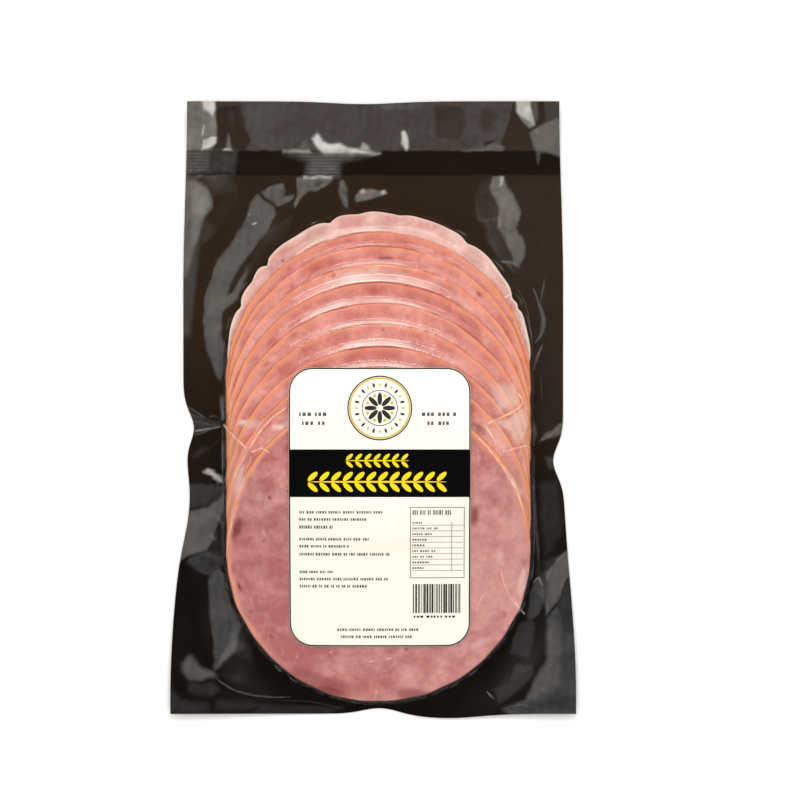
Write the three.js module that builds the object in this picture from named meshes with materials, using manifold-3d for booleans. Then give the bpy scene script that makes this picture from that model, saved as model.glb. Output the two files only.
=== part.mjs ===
// A vacuum pack of smoked ham: ten round slices shingled down a flat pouch, with a black back web,
// a clear front film drawn tight over the meat, and a sticker on the front film.
// Millimetres. +X is across the pack, +Y runs from the bottom hem up to the header, +Z is up.
// The pack lies on its back, and the origin is on the surface under the middle of it.
import * as THREE from "three";
import { mergeVertices } from "three/addons/utils/BufferGeometryUtils.js";
import Module from "manifold-3d";

// The pouch, seen from above
const PACK_LENGTH = 250;
const HEADER_HALF_WIDTH = 75.4;
const SHOULDER_FLARE = { depth: 1.6, from: 125, to: 50 }; // the sides ease out below the header
const HEM_FLARE = { depth: 5.2, from: -20, to: -115 }; // and again towards the bottom corners
const LEFT_PINCHES = [
  { y: -7, depth: 4, spread: 6 },
  { y: -38, depth: 3, spread: 14 },
];
const RIGHT_PINCHES = [{ y: -20.7, depth: 4, spread: 6 }];
const HEADER_DIP = { x: -4, depth: 1.1, spread: 13 };
const HEM_BULGE = { x: 30, depth: 1.8, spread: 13 };
const HEM_NOTCH = { x: 3, depth: 2.4, spread: 7 };

// The webs. Real film is 0.1 mm thick: these are thicker so that the solids are sound.
const WEB_THICKNESS = 0.4;
const FILM_OVER_MEAT = 0.2;
const TOUCH_GAP = 0.3; // between pieces that touch
const TENT_REACH = 4; // the front film comes down to the back web this far outside the meat

// How the loose border of the pouch stands off the surface
const BORDER_LIFT = 1.9;
const LIFT_RUN = 9; // the border leaves the surface over this distance
const BOTTOM_CORNER_CURL = { height: 2.6, spread: 20, x: 80, y: -122 };
const TOP_CORNER_CURL = { height: 1.4, spread: 24, x: 76, y: 125 };
// Slow waves in the border: x and y are millimetres for each radian of the wave
const CROSSED_WAVE = { height: 0.8, x: 17, y: 23, startX: 1.3, startY: 0.4 };
const SLANTED_WAVE = { height: 0.5, x: 11, y: 15 };

// The slices
const SLICE_RADIUS = 62.2;
const SLICE_THICKNESS = 2;
const STACK_X = 2.1; // the stack lies a little right of the middle
const FIRST_SLICE_Y = 18.8; // centre of the lowest slice, which is the one nearest the header
const CRESCENTS = [8.5, 5.8, 7.5, 7.3, 8.5, 8.5, 9, 8.1, 12.1]; // what shows of each slice but the last

// The sticker
const LABEL = { width: 73, length: 112.6, corner: 9.5, x: 2.7, y: -39.3, thickness: 0.3 };
const LABEL_EASE = 0.8; // how softly the sticker bends over the edges of the stack, in slices

// Mesh density
const HEADER_STEPS = 26;
const SIDE_STEPS = 44;
const BORDER_RINGS = [0, 0.05, 0.13, 0.27, 0.5, 0.75, 1]; // shares of the way from meat to edge
const SLICE_SEGMENTS = 72;
const SLICE_RINGS = [1, 0.93, 0.84, 0.7, 0.5, 0.25];
const LABEL_ROWS = 8; // in each half, between the corners and the middle
const DEEP = 5; // how far blocks reach below the surface before they are cut
const UNDER_MEAT = 2; // how far the border's block reaches in under the meat
const PAST_EDGE = 1; // how far the block that cuts the underside reaches past the pouch

const HALF_LENGTH = PACK_LENGTH / 2;
const MEAT_BASE = WEB_THICKNESS + TOUCH_GAP;
const SLICE_YS = CRESCENTS.reduce((ys, step) => [...ys, ys.at(-1) - step], [FIRST_SLICE_Y]);
const LAST = SLICE_YS.length - 1;

const { clamp, lerp } = THREE.MathUtils;
const ease = (from, to, value) => {
  const share = clamp((value - from) / (to - from), 0, 1);
  return share * share * (3 - 2 * share);
};
const bell = (value, spread) => Math.exp(-(value * value) / (2 * spread * spread));
const softMin = (a, b, width) => {
  const share = clamp(0.5 + (b - a) / (2 * width), 0, 1);
  return lerp(b, a, share) - width * share * (1 - share);
};

// ---- The outline of the pouch ----

const flare = ({ depth, from, to }, y) => depth * ease(from, to, y);
const pinch = (pinches, y) =>
  pinches.reduce((sum, p) => sum + p.depth * bell(y - p.y, p.spread), 0);
const halfWidth = (y) => HEADER_HALF_WIDTH + flare(SHOULDER_FLARE, y) + flare(HEM_FLARE, y);
const leftEdge = (y) => pinch(LEFT_PINCHES, y) - halfWidth(y);
const rightEdge = (y) => halfWidth(y) - pinch(RIGHT_PINCHES, y);
const topEdge = (x) => HALF_LENGTH - HEADER_DIP.depth * bell(x - HEADER_DIP.x, HEADER_DIP.spread);
const hem = (x) =>
  -HALF_LENGTH +
  HEM_BULGE.depth * (1 - bell(x - HEM_BULGE.x, HEM_BULGE.spread)) +
  HEM_NOTCH.depth * bell(x - HEM_NOTCH.x, HEM_NOTCH.spread);

// Points round the pouch, anticlockwise from the bottom left corner.
function pouchOutline() {
  const points = [];
  const bottomLeft = hem(leftEdge(-HALF_LENGTH));
  const bottomRight = hem(rightEdge(-HALF_LENGTH));
  for (let i = 0; i < HEADER_STEPS; i++) {
    const x = lerp(leftEdge(bottomLeft), rightEdge(bottomRight), i / HEADER_STEPS);
    points.push(new THREE.Vector2(x, hem(x)));
  }
  for (let i = 0; i < SIDE_STEPS; i++) {
    const y = lerp(bottomRight, HALF_LENGTH, i / SIDE_STEPS);
    points.push(new THREE.Vector2(rightEdge(y), y));
  }
  for (let i = 0; i < HEADER_STEPS; i++) {
    const x = lerp(rightEdge(HALF_LENGTH), leftEdge(HALF_LENGTH), i / HEADER_STEPS);
    points.push(new THREE.Vector2(x, topEdge(x)));
  }
  for (let i = 0; i < SIDE_STEPS; i++) {
    const y = lerp(HALF_LENGTH, bottomLeft, i / SIDE_STEPS);
    points.push(new THREE.Vector2(leftEdge(y), y));
  }
  return points;
}

// ---- Heights of the stack, the border and the sticker ----

// Half the length of a slice at x.
const chord = (x) => Math.sqrt(Math.max(0, SLICE_RADIUS ** 2 - (x - STACK_X) ** 2));

// The number of the slice whose centre is at y, with fractions between slices.
function sliceNumberAt(y) {
  if (y >= SLICE_YS[0]) return (SLICE_YS[0] - y) / CRESCENTS[0];
  for (let i = 0; i < LAST; i++) {
    if (y >= SLICE_YS[i + 1]) return i + (SLICE_YS[i] - y) / CRESCENTS[i];
  }
  return LAST;
}

// How many slices have ended above this place, so that the ones over them sink by as much.
const slicesEnded = (x, y) => Math.max(0, sliceNumberAt(y + chord(x)));

// Top of slice number i, draped over the slices below it.
const sliceTop = (i, x, y) =>
  MEAT_BASE + FILM_OVER_MEAT + SLICE_THICKNESS * (i + 1 - Math.min(i, slicesEnded(x, y)));

// A smooth skin that rests on the upper edges of the slices.
function skinOverStack(x, y) {
  const begun = softMin(LAST, sliceNumberAt(y - chord(x)), LABEL_EASE);
  const ended = -softMin(0, -sliceNumberAt(y + chord(x)), LABEL_EASE);
  const raised = LABEL_EASE / 2; // softMin cuts the corners, and this clears them again
  return MEAT_BASE + FILM_OVER_MEAT + SLICE_THICKNESS * (begun - ended + 1 + raised);
}

const curl = ({ height, spread, x, y }, px, py) =>
  height * bell(Math.hypot(Math.abs(px) - x, py - y), spread);

function waviness(x, y) {
  const { height, startX, startY } = CROSSED_WAVE;
  const crossed = Math.sin(x / CROSSED_WAVE.x + startX) * Math.sin(y / CROSSED_WAVE.y + startY);
  const slanted = Math.sin(x / SLANTED_WAVE.x - y / SLANTED_WAVE.y);
  return height * crossed + SLANTED_WAVE.height * slanted;
}

// Underside of the back web, at a distance outside the meat.
const webUnderside = (x, y, outside) =>
  ease(0, LIFT_RUN, outside) *
  (BORDER_LIFT + waviness(x, y) + curl(BOTTOM_CORNER_CURL, x, y) + curl(TOP_CORNER_CURL, x, y));

// Front face of the border: film that comes down from the meat and then lies on the back web.
function borderFront(x, y, outside) {
  const onWeb = webUnderside(x, y, outside) + 2 * WEB_THICKNESS + TOUCH_GAP;
  const fall = (1 - clamp(outside / TENT_REACH, 0, 1)) ** 2;
  return lerp(onWeb, MEAT_BASE + SLICE_THICKNESS, fall);
}

// ---- Rings between the meat and the edge of the pouch ----

// The stack's outline is all that lies within one slice radius of its spine.
function borderRay(edge) {
  const spine = new THREE.Vector2(STACK_X, clamp(edge.y, SLICE_YS[LAST], SLICE_YS[0]));
  const way = edge.clone().sub(spine);
  const reach = way.length() - SLICE_RADIUS;
  way.normalize();
  return { reach, at: (outside) => spine.clone().addScaledVector(way, SLICE_RADIUS + outside) };
}

const rays = pouchOutline().map(borderRay);

// One closed ring of points, at a share of the way from the meat to the edge.
const ringAt = (share, height, extra = 0) =>
  rays.map((ray) => {
    const outside = ray.reach * share + extra;
    const p = ray.at(outside);
    return new THREE.Vector3(p.x, p.y, height(p.x, p.y, Math.max(0, outside)));
  });

// A closed surface through rings of equal count. With caps, its first and last ring are filled.
function loft(rings, capped) {
  const count = rings[0].length;
  const positions = rings.flat().flatMap((p) => [p.x, p.y, p.z]);
  const index = [];
  const bands = capped ? rings.length - 1 : rings.length;
  for (let k = 0; k < bands; k++) {
    const low = k * count;
    const high = ((k + 1) % rings.length) * count;
    for (let j = 0; j < count; j++) {
      const next = (j + 1) % count;
      index.push(low + j, low + next, high + next, low + j, high + next, high + j);
    }
  }
  if (capped) {
    const flat = (ring) => ring.map((p) => new THREE.Vector2(p.x, p.y));
    const last = (rings.length - 1) * count;
    for (const [a, b, c] of THREE.ShapeUtils.triangulateShape(flat(rings[0]), [])) {
      index.push(a, c, b);
    }
    for (const [a, b, c] of THREE.ShapeUtils.triangulateShape(flat(rings.at(-1)), [])) {
      index.push(last + a, last + b, last + c);
    }
  }
  const geometry = new THREE.BufferGeometry();
  geometry.setAttribute("position", new THREE.Float32BufferAttribute(positions, 3));
  geometry.setIndex(index);
  return geometry;
}

// ---- Joining and cutting ----

const wasm = await Module();
wasm.setup();

function toSolid(geometry) {
  const bare = geometry.clone();
  bare.deleteAttribute("normal");
  bare.deleteAttribute("uv");
  const merged = mergeVertices(bare, 1e-4);
  return new wasm.Manifold(
    new wasm.Mesh({
      numProp: 3,
      vertProperties: new Float32Array(merged.attributes.position.array),
      triVerts: new Uint32Array(merged.index.array),
    }),
  );
}

function toGeometry(solid) {
  const mesh = solid.getMesh();
  const geometry = new THREE.BufferGeometry();
  geometry.setAttribute("position", new THREE.BufferAttribute(mesh.vertProperties, 3));
  geometry.setIndex(new THREE.BufferAttribute(mesh.triVerts, 1));
  geometry.computeVertexNormals();
  return geometry;
}

// ---- The pieces ----

// The black web: flat under the meat, and standing off the surface all round it.
function backWeb() {
  const top = (x, y, outside) => webUnderside(x, y, outside) + WEB_THICKNESS;
  const under = BORDER_RINGS.map((share) => ringAt(share, webUnderside));
  const over = BORDER_RINGS.map((share) => ringAt(share, top)).reverse();
  return loft([...under, ...over], true);
}

// One slice with all that is below it, as a block that the cut underneath then trims.
function sliceBlock(i) {
  const profile = [
    new THREE.Vector2(0, -DEEP),
    new THREE.Vector2(SLICE_RADIUS, -DEEP),
    ...SLICE_RINGS.map((share) => new THREE.Vector2(SLICE_RADIUS * share, 0)),
    new THREE.Vector2(0, 0),
  ];
  const block = new THREE.LatheGeometry(profile, SLICE_SEGMENTS).rotateX(Math.PI / 2);
  block.translate(STACK_X, SLICE_YS[i], 0);
  const place = block.attributes.position;
  for (let v = 0; v < place.count; v++) {
    if (place.getZ(v) > -DEEP / 2) {
      place.setZ(v, sliceTop(i, place.getX(v), place.getY(v)));
    }
  }
  return block;
}

// The front film and the slices that it is drawn down on, as one solid with their steps.
function sealedHam() {
  const border = [
    ringAt(0, () => -DEEP, -UNDER_MEAT),
    ringAt(1, () => -DEEP),
    ...BORDER_RINGS.map((share) => ringAt(share, borderFront)).reverse(),
    ringAt(0, borderFront, -UNDER_MEAT),
  ];
  const backFace = (x, y, outside) => webUnderside(x, y, outside) + MEAT_BASE;
  const below = [
    ringAt(1, () => -2 * DEEP, PAST_EDGE),
    ringAt(1, backFace, PAST_EDGE),
    ...BORDER_RINGS.map((share) => ringAt(share, backFace)).reverse(),
  ];
  const blocks = SLICE_YS.map((_, i) => toSolid(sliceBlock(i)));
  const joined = blocks.reduce((sum, block) => sum.add(block), toSolid(loft(border, false)));
  return toGeometry(joined.subtract(toSolid(loft(below, true))));
}

// The sticker: rows of points across a rounded rectangle, laid on the skin over the stack.
function sticker() {
  const { width, length, corner, x: middleX, y: middleY, thickness } = LABEL;
  const cornerAngles = [0, 22.5, 45, 67.5, 90].map(THREE.MathUtils.degToRad);
  const endRows = cornerAngles.map((angle) => ({
    along: length / 2 - corner * (1 - Math.cos(angle)),
    half: width / 2 - corner * (1 - Math.sin(angle)),
  }));
  const middleRows = Array.from({ length: LABEL_ROWS }, (_, row) => ({
    along: (length / 2 - corner) * (1 - (row + 1) / LABEL_ROWS),
    half: width / 2,
  }));
  const upper = [...endRows, ...middleRows];
  const lower = upper.slice(0, -1).map((row) => ({ ...row, along: -row.along }));
  const rows = [...upper, ...lower.reverse()];
  const columns = [-1, -0.75, -0.5, -0.25, 0, 0.25, 0.5, 0.75, 1];
  const across = columns.length;
  const positions = [];
  for (const lift of [TOUCH_GAP, TOUCH_GAP + thickness]) {
    for (const row of rows) {
      for (const share of columns) {
        const x = middleX + share * row.half;
        const y = middleY + row.along;
        positions.push(x, y, skinOverStack(x, y) + lift);
      }
    }
  }
  const layer = rows.length * across;
  const index = [];
  const quad = (a, b, c, d) => index.push(a, b, c, a, c, d);
  for (let r = 0; r < rows.length - 1; r++) {
    for (let c = 0; c < across - 1; c++) {
      const at = r * across + c;
      quad(at, at + 1, at + across + 1, at + across);
      quad(layer + at, layer + at + across, layer + at + across + 1, layer + at + 1);
    }
    const left = r * across;
    const right = left + across - 1;
    quad(left, left + across, layer + left + across, layer + left);
    quad(right, layer + right, layer + right + across, right + across);
  }
  for (let c = 0; c < across - 1; c++) {
    const end = layer - across + c;
    quad(c, layer + c, layer + c + 1, c + 1);
    quad(end, end + 1, layer + end + 1, layer + end);
  }
  const geometry = new THREE.BufferGeometry();
  geometry.setAttribute("position", new THREE.Float32BufferAttribute(positions, 3));
  geometry.setIndex(index);
  return geometry;
}

function piece(name, geometry, color, roughness) {
  const material = new THREE.MeshStandardMaterial({ color, roughness, metalness: 0 });
  const mesh = new THREE.Mesh(geometry, material);
  mesh.name = name;
  return mesh;
}

const pack = new THREE.Group();
pack.name = "ham_pack";
pack.add(
  piece("back_film", backWeb(), 0x1c1612, 0.25),
  piece("sealed_ham", sealedHam(), 0xd8857e, 0.2),
  piece("label", sticker(), 0xfffdf2, 0.5),
);

export default pack;
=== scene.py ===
"""Looks of a vacuum pack of sliced smoked ham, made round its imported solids.

A flat pouch holds ten round slices of ham laid in a shingled row. Its back web is black, its front
film is clear and drawn tight over the meat, and a printed sticker lies on the film. The lengths
below are millimetres in the solids' own frame: +X across the pack, +Y from the bottom hem up to the
header, +Z up. Only finished meshes are in metres.
"""

import logging
import math
from dataclasses import dataclass
from enum import Enum

import bpy
import mathutils
import numpy as np
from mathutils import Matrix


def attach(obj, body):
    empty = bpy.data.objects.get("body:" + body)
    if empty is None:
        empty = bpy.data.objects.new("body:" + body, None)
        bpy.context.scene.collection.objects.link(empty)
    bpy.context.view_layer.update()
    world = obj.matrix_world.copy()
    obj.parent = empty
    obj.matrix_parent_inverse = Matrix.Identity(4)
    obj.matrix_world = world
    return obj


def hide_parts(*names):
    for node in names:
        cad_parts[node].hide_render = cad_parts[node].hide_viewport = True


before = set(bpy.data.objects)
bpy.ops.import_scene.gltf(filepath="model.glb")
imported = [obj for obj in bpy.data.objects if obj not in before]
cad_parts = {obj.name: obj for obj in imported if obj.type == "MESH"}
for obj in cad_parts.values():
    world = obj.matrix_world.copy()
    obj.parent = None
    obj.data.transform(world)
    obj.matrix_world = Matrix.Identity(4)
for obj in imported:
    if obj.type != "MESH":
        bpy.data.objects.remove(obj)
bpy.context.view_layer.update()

MM = 0.001  # one millimetre in Blender's metres
MOST_CLEAR_FACES = 32  # that a ray may cross
log = logging.getLogger("ham_pack")


class Slot(Enum):
    """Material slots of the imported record."""

    BLACK_FILM = "black_film"
    CLEAR_FILM = "clear_film"
    HAM = "sealed_ham"
    LABEL_STOCK = "label_stock"
    LABEL_INK = "label_ink"


class Uphill(Enum):
    """Which side of a fold's path is high, for someone who walks along it."""

    LEFT = 1
    RIGHT = -1


# ---- Curves and unevenness ----


def smooth_step(low: float, high: float, value: np.ndarray) -> np.ndarray:
    """Eases from 0 at low to 1 at high."""
    share = np.clip((value - low) / (high - low), 0, 1)
    return share * share * (3 - 2 * share)


def bell(value: np.ndarray, spread: float) -> np.ndarray:
    """A bell curve of height 1."""
    return np.exp(-(value * value) / (2 * spread * spread))


def soft_min(a: np.ndarray, b: np.ndarray, width: float) -> np.ndarray:
    """The smaller of two values, with the corner between them rounded over width."""
    share = np.clip(0.5 + (b - a) / (2 * width), 0, 1)
    return b + (a - b) * share - width * share * (1 - share)


@dataclass(frozen=True)
class Swell:
    """One pinch, notch or bulge along an edge: where it is, how deep and how wide."""

    place: float
    depth: float
    spread: float

    def at(self, along: np.ndarray) -> np.ndarray:
        """Depth at each place along the edge."""
        return self.depth * bell(along - self.place, self.spread)


@dataclass(frozen=True)
class Ripple:
    """Soft unevenness of film or meat, as a sum of plane waves in seeded directions."""

    height: float
    length: float
    seed: int
    waves: int = 10

    def at(self, x: np.ndarray, y: np.ndarray) -> np.ndarray:
        """Height at each point, about plus or minus the ripple's height."""
        draw = np.random.default_rng(self.seed)
        total = np.zeros_like(x, dtype=float)
        for _ in range(self.waves):
            angle, start = draw.uniform(0, 2 * math.pi, 2)
            turn = 2 * math.pi / (self.length * draw.uniform(0.7, 1.6))
            total += np.sin(turn * (x * math.cos(angle) + y * math.sin(angle)) + start)
        return self.height * total / math.sqrt(self.waves)


@dataclass(frozen=True)
class Fold:
    """A low fold in film: a flat flank rises across a band, and falls again behind it and at its ends.

    The path gives x, y and the band's width at each bend.
    """

    path: tuple[tuple[float, float, float], ...]
    slope: float  # degrees, across the band
    uphill: Uphill
    drop: float = 3.6  # degrees, behind the band and at its ends

    def height(self, x: np.ndarray, y: np.ndarray) -> np.ndarray:
        """How high the fold lifts the film.

        Args:
            x: places across the pack.
            y: places along the pack.

        Returns:
            The lift at each place.
        """
        nearest = np.full(x.shape, np.inf)
        offset, width, within = np.zeros((3, *x.shape))
        last = len(self.path) - 2
        for number, ((x0, y0, width0), (x1, y1, width1)) in enumerate(zip(self.path, self.path[1:])):
            length = math.hypot(x1 - x0, y1 - y0)
            dx, dy = (x1 - x0) / length, (y1 - y0) / length
            along = (x - x0) * dx + (y - y0) * dy
            share = np.clip(along / length, 0, 1)
            away = np.hypot(x - x0 - share * length * dx, y - y0 - share * length * dy)
            side = np.sign(dx * (y - y0) - dy * (x - x0)) * self.uphill.value
            from_start = along if number == 0 else np.inf
            to_end = length - along if number == last else np.inf
            closer = away < nearest
            nearest = np.where(closer, away, nearest)
            offset = np.where(closer, side * away, offset)
            width = np.where(closer, width0 + (width1 - width0) * share, width)
            within = np.where(closer, np.minimum(from_start, to_end), within)
        rise, fall = math.tan(math.radians(self.slope)), math.tan(math.radians(self.drop))
        top = width * rise
        up = (offset + width / 2) * rise
        down = top - (offset - width / 2) * fall
        return np.clip(np.minimum.reduce([up, down, within * fall]), 0, top)


# ---- The form of the pack ----


@dataclass(frozen=True)
class Outline:
    """The pouch seen from above, with the same swells as its solids."""

    half_length: float = 125.0
    header_half_width: float = 75.4
    shoulder_flare: float = 1.6
    shoulder_y: tuple[float, float] = (50.0, 125.0)
    hem_flare: float = 5.2
    hem_y: tuple[float, float] = (-115.0, -20.0)
    left_pinches: tuple[Swell, ...] = (Swell(-7, 4, 6), Swell(-38, 3, 14))
    right_pinches: tuple[Swell, ...] = (Swell(-20.7, 4, 6),)
    header_dip: Swell = Swell(-4, 1.1, 13)
    hem_bulge: Swell = Swell(30, 1.8, 13)
    hem_notch: Swell = Swell(3, 2.4, 7)

    def half_width(self, y: np.ndarray) -> np.ndarray:
        """Half the pouch's width before it is pinched."""
        shoulder = self.shoulder_flare * (1 - smooth_step(*self.shoulder_y, y))
        return self.header_half_width + shoulder + self.hem_flare * (1 - smooth_step(*self.hem_y, y))

    def left(self, y: np.ndarray) -> np.ndarray:
        """X of the left edge."""
        return sum(pinch.at(y) for pinch in self.left_pinches) - self.half_width(y)

    def right(self, y: np.ndarray) -> np.ndarray:
        """X of the right edge."""
        return self.half_width(y) - sum(pinch.at(y) for pinch in self.right_pinches)

    def header(self, x: np.ndarray) -> np.ndarray:
        """Y of the header's open edge."""
        return self.half_length - self.header_dip.at(x)

    def hem(self, x: np.ndarray) -> np.ndarray:
        """Y of the bottom hem."""
        bulge = self.hem_bulge.depth - self.hem_bulge.at(x)
        return -self.half_length + bulge + self.hem_notch.at(x)

    def place(
        self, across: np.ndarray, along: np.ndarray, low: float | None = None, high: float | None = None
    ) -> tuple[np.ndarray, np.ndarray]:
        """Lays shares of the width and length onto the pouch.

        Args:
            across: shares from the left edge to the right one.
            along: shares from the lower limit to the upper one.
            low: y of the lower limit, or None for the hem.
            high: y of the upper limit, or None for the header's open edge.

        Returns:
            x and y of each point.
        """
        bottom = -self.half_length if low is None else low
        top = self.half_length if high is None else high
        y = bottom + (top - bottom) * along
        for _ in range(2):  # the edges bend, so a second pass puts the points right onto them
            x = self.left(y) + (self.right(y) - self.left(y)) * across
            lower = self.hem(x) if low is None else np.full_like(x, low)
            upper = self.header(x) if high is None else np.full_like(x, high)
            y = lower + (upper - lower) * along
        return x, y


@dataclass(frozen=True)
class Stack:
    """Ten round slices, each a little nearer the hem than the one below it, over which it is draped."""

    radius: float = 62.2
    thickness: float = 2.0
    x: float = 2.1
    first_y: float = 18.8
    crescents: tuple[float, ...] = (8.5, 5.8, 7.5, 7.3, 8.5, 8.5, 9.0, 8.1, 12.1)
    base: float = 0.7  # underside of the lowest slice

    @property
    def centres(self) -> np.ndarray:
        """Y of each slice's centre, from the lowest slice to the front one."""
        return self.first_y - np.concatenate([[0.0], np.cumsum(self.crescents)])

    @property
    def last(self) -> int:
        """Number of the front slice, counted from 0."""
        return len(self.crescents)

    def number_at(self, y: np.ndarray, beyond: bool = False) -> np.ndarray:
        """The number of the slice whose centre is at y, with fractions between slices.

        Args:
            y: places along the pack.
            beyond: whether to count on below the front slice's centre.

        Returns:
            The number at each place, negative above the lowest slice's centre.
        """
        centres = self.centres
        number = np.interp(-y, -centres, np.arange(len(centres)))
        number = np.where(y > centres[0], (centres[0] - y) / self.crescents[0], number)
        if beyond:
            number = np.where(
                y < centres[-1], self.last + (centres[-1] - y) / self.crescents[0], number
            )
        return number

    def chord(self, x: np.ndarray) -> np.ndarray:
        """Half the length of a slice at x."""
        return np.sqrt(np.maximum(0, self.radius**2 - (x - self.x) ** 2))

    def ended(self, x: np.ndarray, y: np.ndarray) -> np.ndarray:
        """How many slices have ended above this place, so that those over them sink."""
        return np.maximum(0, self.number_at(y + self.chord(x)))

    def begun(self, x: np.ndarray, y: np.ndarray) -> np.ndarray:
        """The number of the slice whose upper edge passes here, with fractions between edges."""
        return self.number_at(y - self.chord(x))

    def top(self, number: int, x: np.ndarray, y: np.ndarray) -> np.ndarray:
        """Top face of one slice."""
        return self.base + self.thickness * (number + 1 - np.minimum(number, self.ended(x, y)))

    def outside(self, x: np.ndarray, y: np.ndarray) -> np.ndarray:
        """Distance outside the whole stack's outline, negative over the meat."""
        spine = np.clip(y, self.centres[-1], self.centres[0])
        return np.hypot(x - self.x, y - spine) - self.radius


def highest(folds: tuple[Fold, ...], x: np.ndarray, y: np.ndarray) -> np.ndarray:
    """The lift of whichever fold is highest at each place."""
    return np.maximum.reduce([fold.height(x, y) for fold in folds])


# Low folds where the front film stands free of the back web beside the meat
BORDER_FOLDS = (
    Fold(((-43.6, 84.0, 7.0), (-50.2, 69.4, 8.6), (-58.4, 55.4, 8.4), (-64.0, 43.0, 7.6),
         (-65.2, 32.0, 5.6), (-64.4, 20.0, 3.4), (-62.0, 10.6, 0.3)), 4.5, Uphill.LEFT),
    Fold(((-70.4, 94.7, 8.6), (-69.6, 86.0, 9.6), (-70.8, 79.0, 7.0), (-73.4, 64.0, 2.4)), 4.0,
         Uphill.LEFT),
    Fold(((50.4, 94.0, 4.0), (51.6, 89.0, 6.4), (54.6, 82.4, 7.6), (55.6, 77.0, 7.0), (54.8, 72.0, 5.4),
         (57.6, 66.0, 5.2), (59.8, 60.0, 5.4), (58.6, 55.0, 1.6)), 4.5, Uphill.RIGHT),
    Fold(((-61.0, -35.6, 3.6), (-66.6, -42.4, 8.6), (-70.0, -49.6, 10.4), (-72.6, -58.6, 8.6)), 4.5,
         Uphill.LEFT),
    Fold(((-64.4, -64.5, 1.0), (-63.6, -74.0, 5.4), (-61.8, -86.0, 8.0), (-62.6, -94.0, 6.4),
         (-64.4, -104.6, 0.6)), 4.5, Uphill.LEFT),
    Fold(((79.4, -57.5, 0.6), (75.4, -66.0, 5.6), (73.4, -74.0, 5.0), (71.0, -83.6, 0.5)), 4.5,
         Uphill.RIGHT),
)


@dataclass(frozen=True)
class MilkAndReflectionField:
    """A field of film painted grey, milky or white: a painted reflection beside the meat, and over it partly a
    painted highlight and partly the milk of film that spans air.
    """

    corners: tuple[tuple[float, float], ...]
    milk_and_reflection: float  # share of white that it adds
    soft: float = 0.8  # mm over which its edge fades
    ribs_across: float = 0.0  # pitch in mm of ribs that cross it, or 0 for none
    ribs_along: float = 0.0
    rib_share: float = 0.26  # how far the ribs lighten and darken the field

    def cover(self, x: np.ndarray, y: np.ndarray) -> np.ndarray:
        """Share of the field at each place, from 0 outside to 1 inside."""
        inside = np.zeros(x.shape, dtype=bool)
        nearest = np.full(x.shape, np.inf)
        for (x0, y0), (x1, y1) in zip(self.corners, self.corners[1:] + self.corners[:1]):
            dx, dy = x1 - x0, y1 - y0
            share = np.clip(((x - x0) * dx + (y - y0) * dy) / (dx * dx + dy * dy), 0, 1)
            nearest = np.minimum(nearest, np.hypot(x - x0 - share * dx, y - y0 - share * dy))
            inside ^= ((y0 > y) != (y1 > y)) & (x < x0 + dx * (y - y0) / (dy or 1))
        cover = smooth_step(-self.soft / 2, self.soft / 2, np.where(inside, nearest, -nearest))
        for pitch, along in ((self.ribs_across, x), (self.ribs_along, y)):
            if pitch:
                wave = np.cos(2 * math.pi * along / pitch)
                cover = cover * (1 - self.rib_share + self.rib_share * wave)
        return cover
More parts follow.
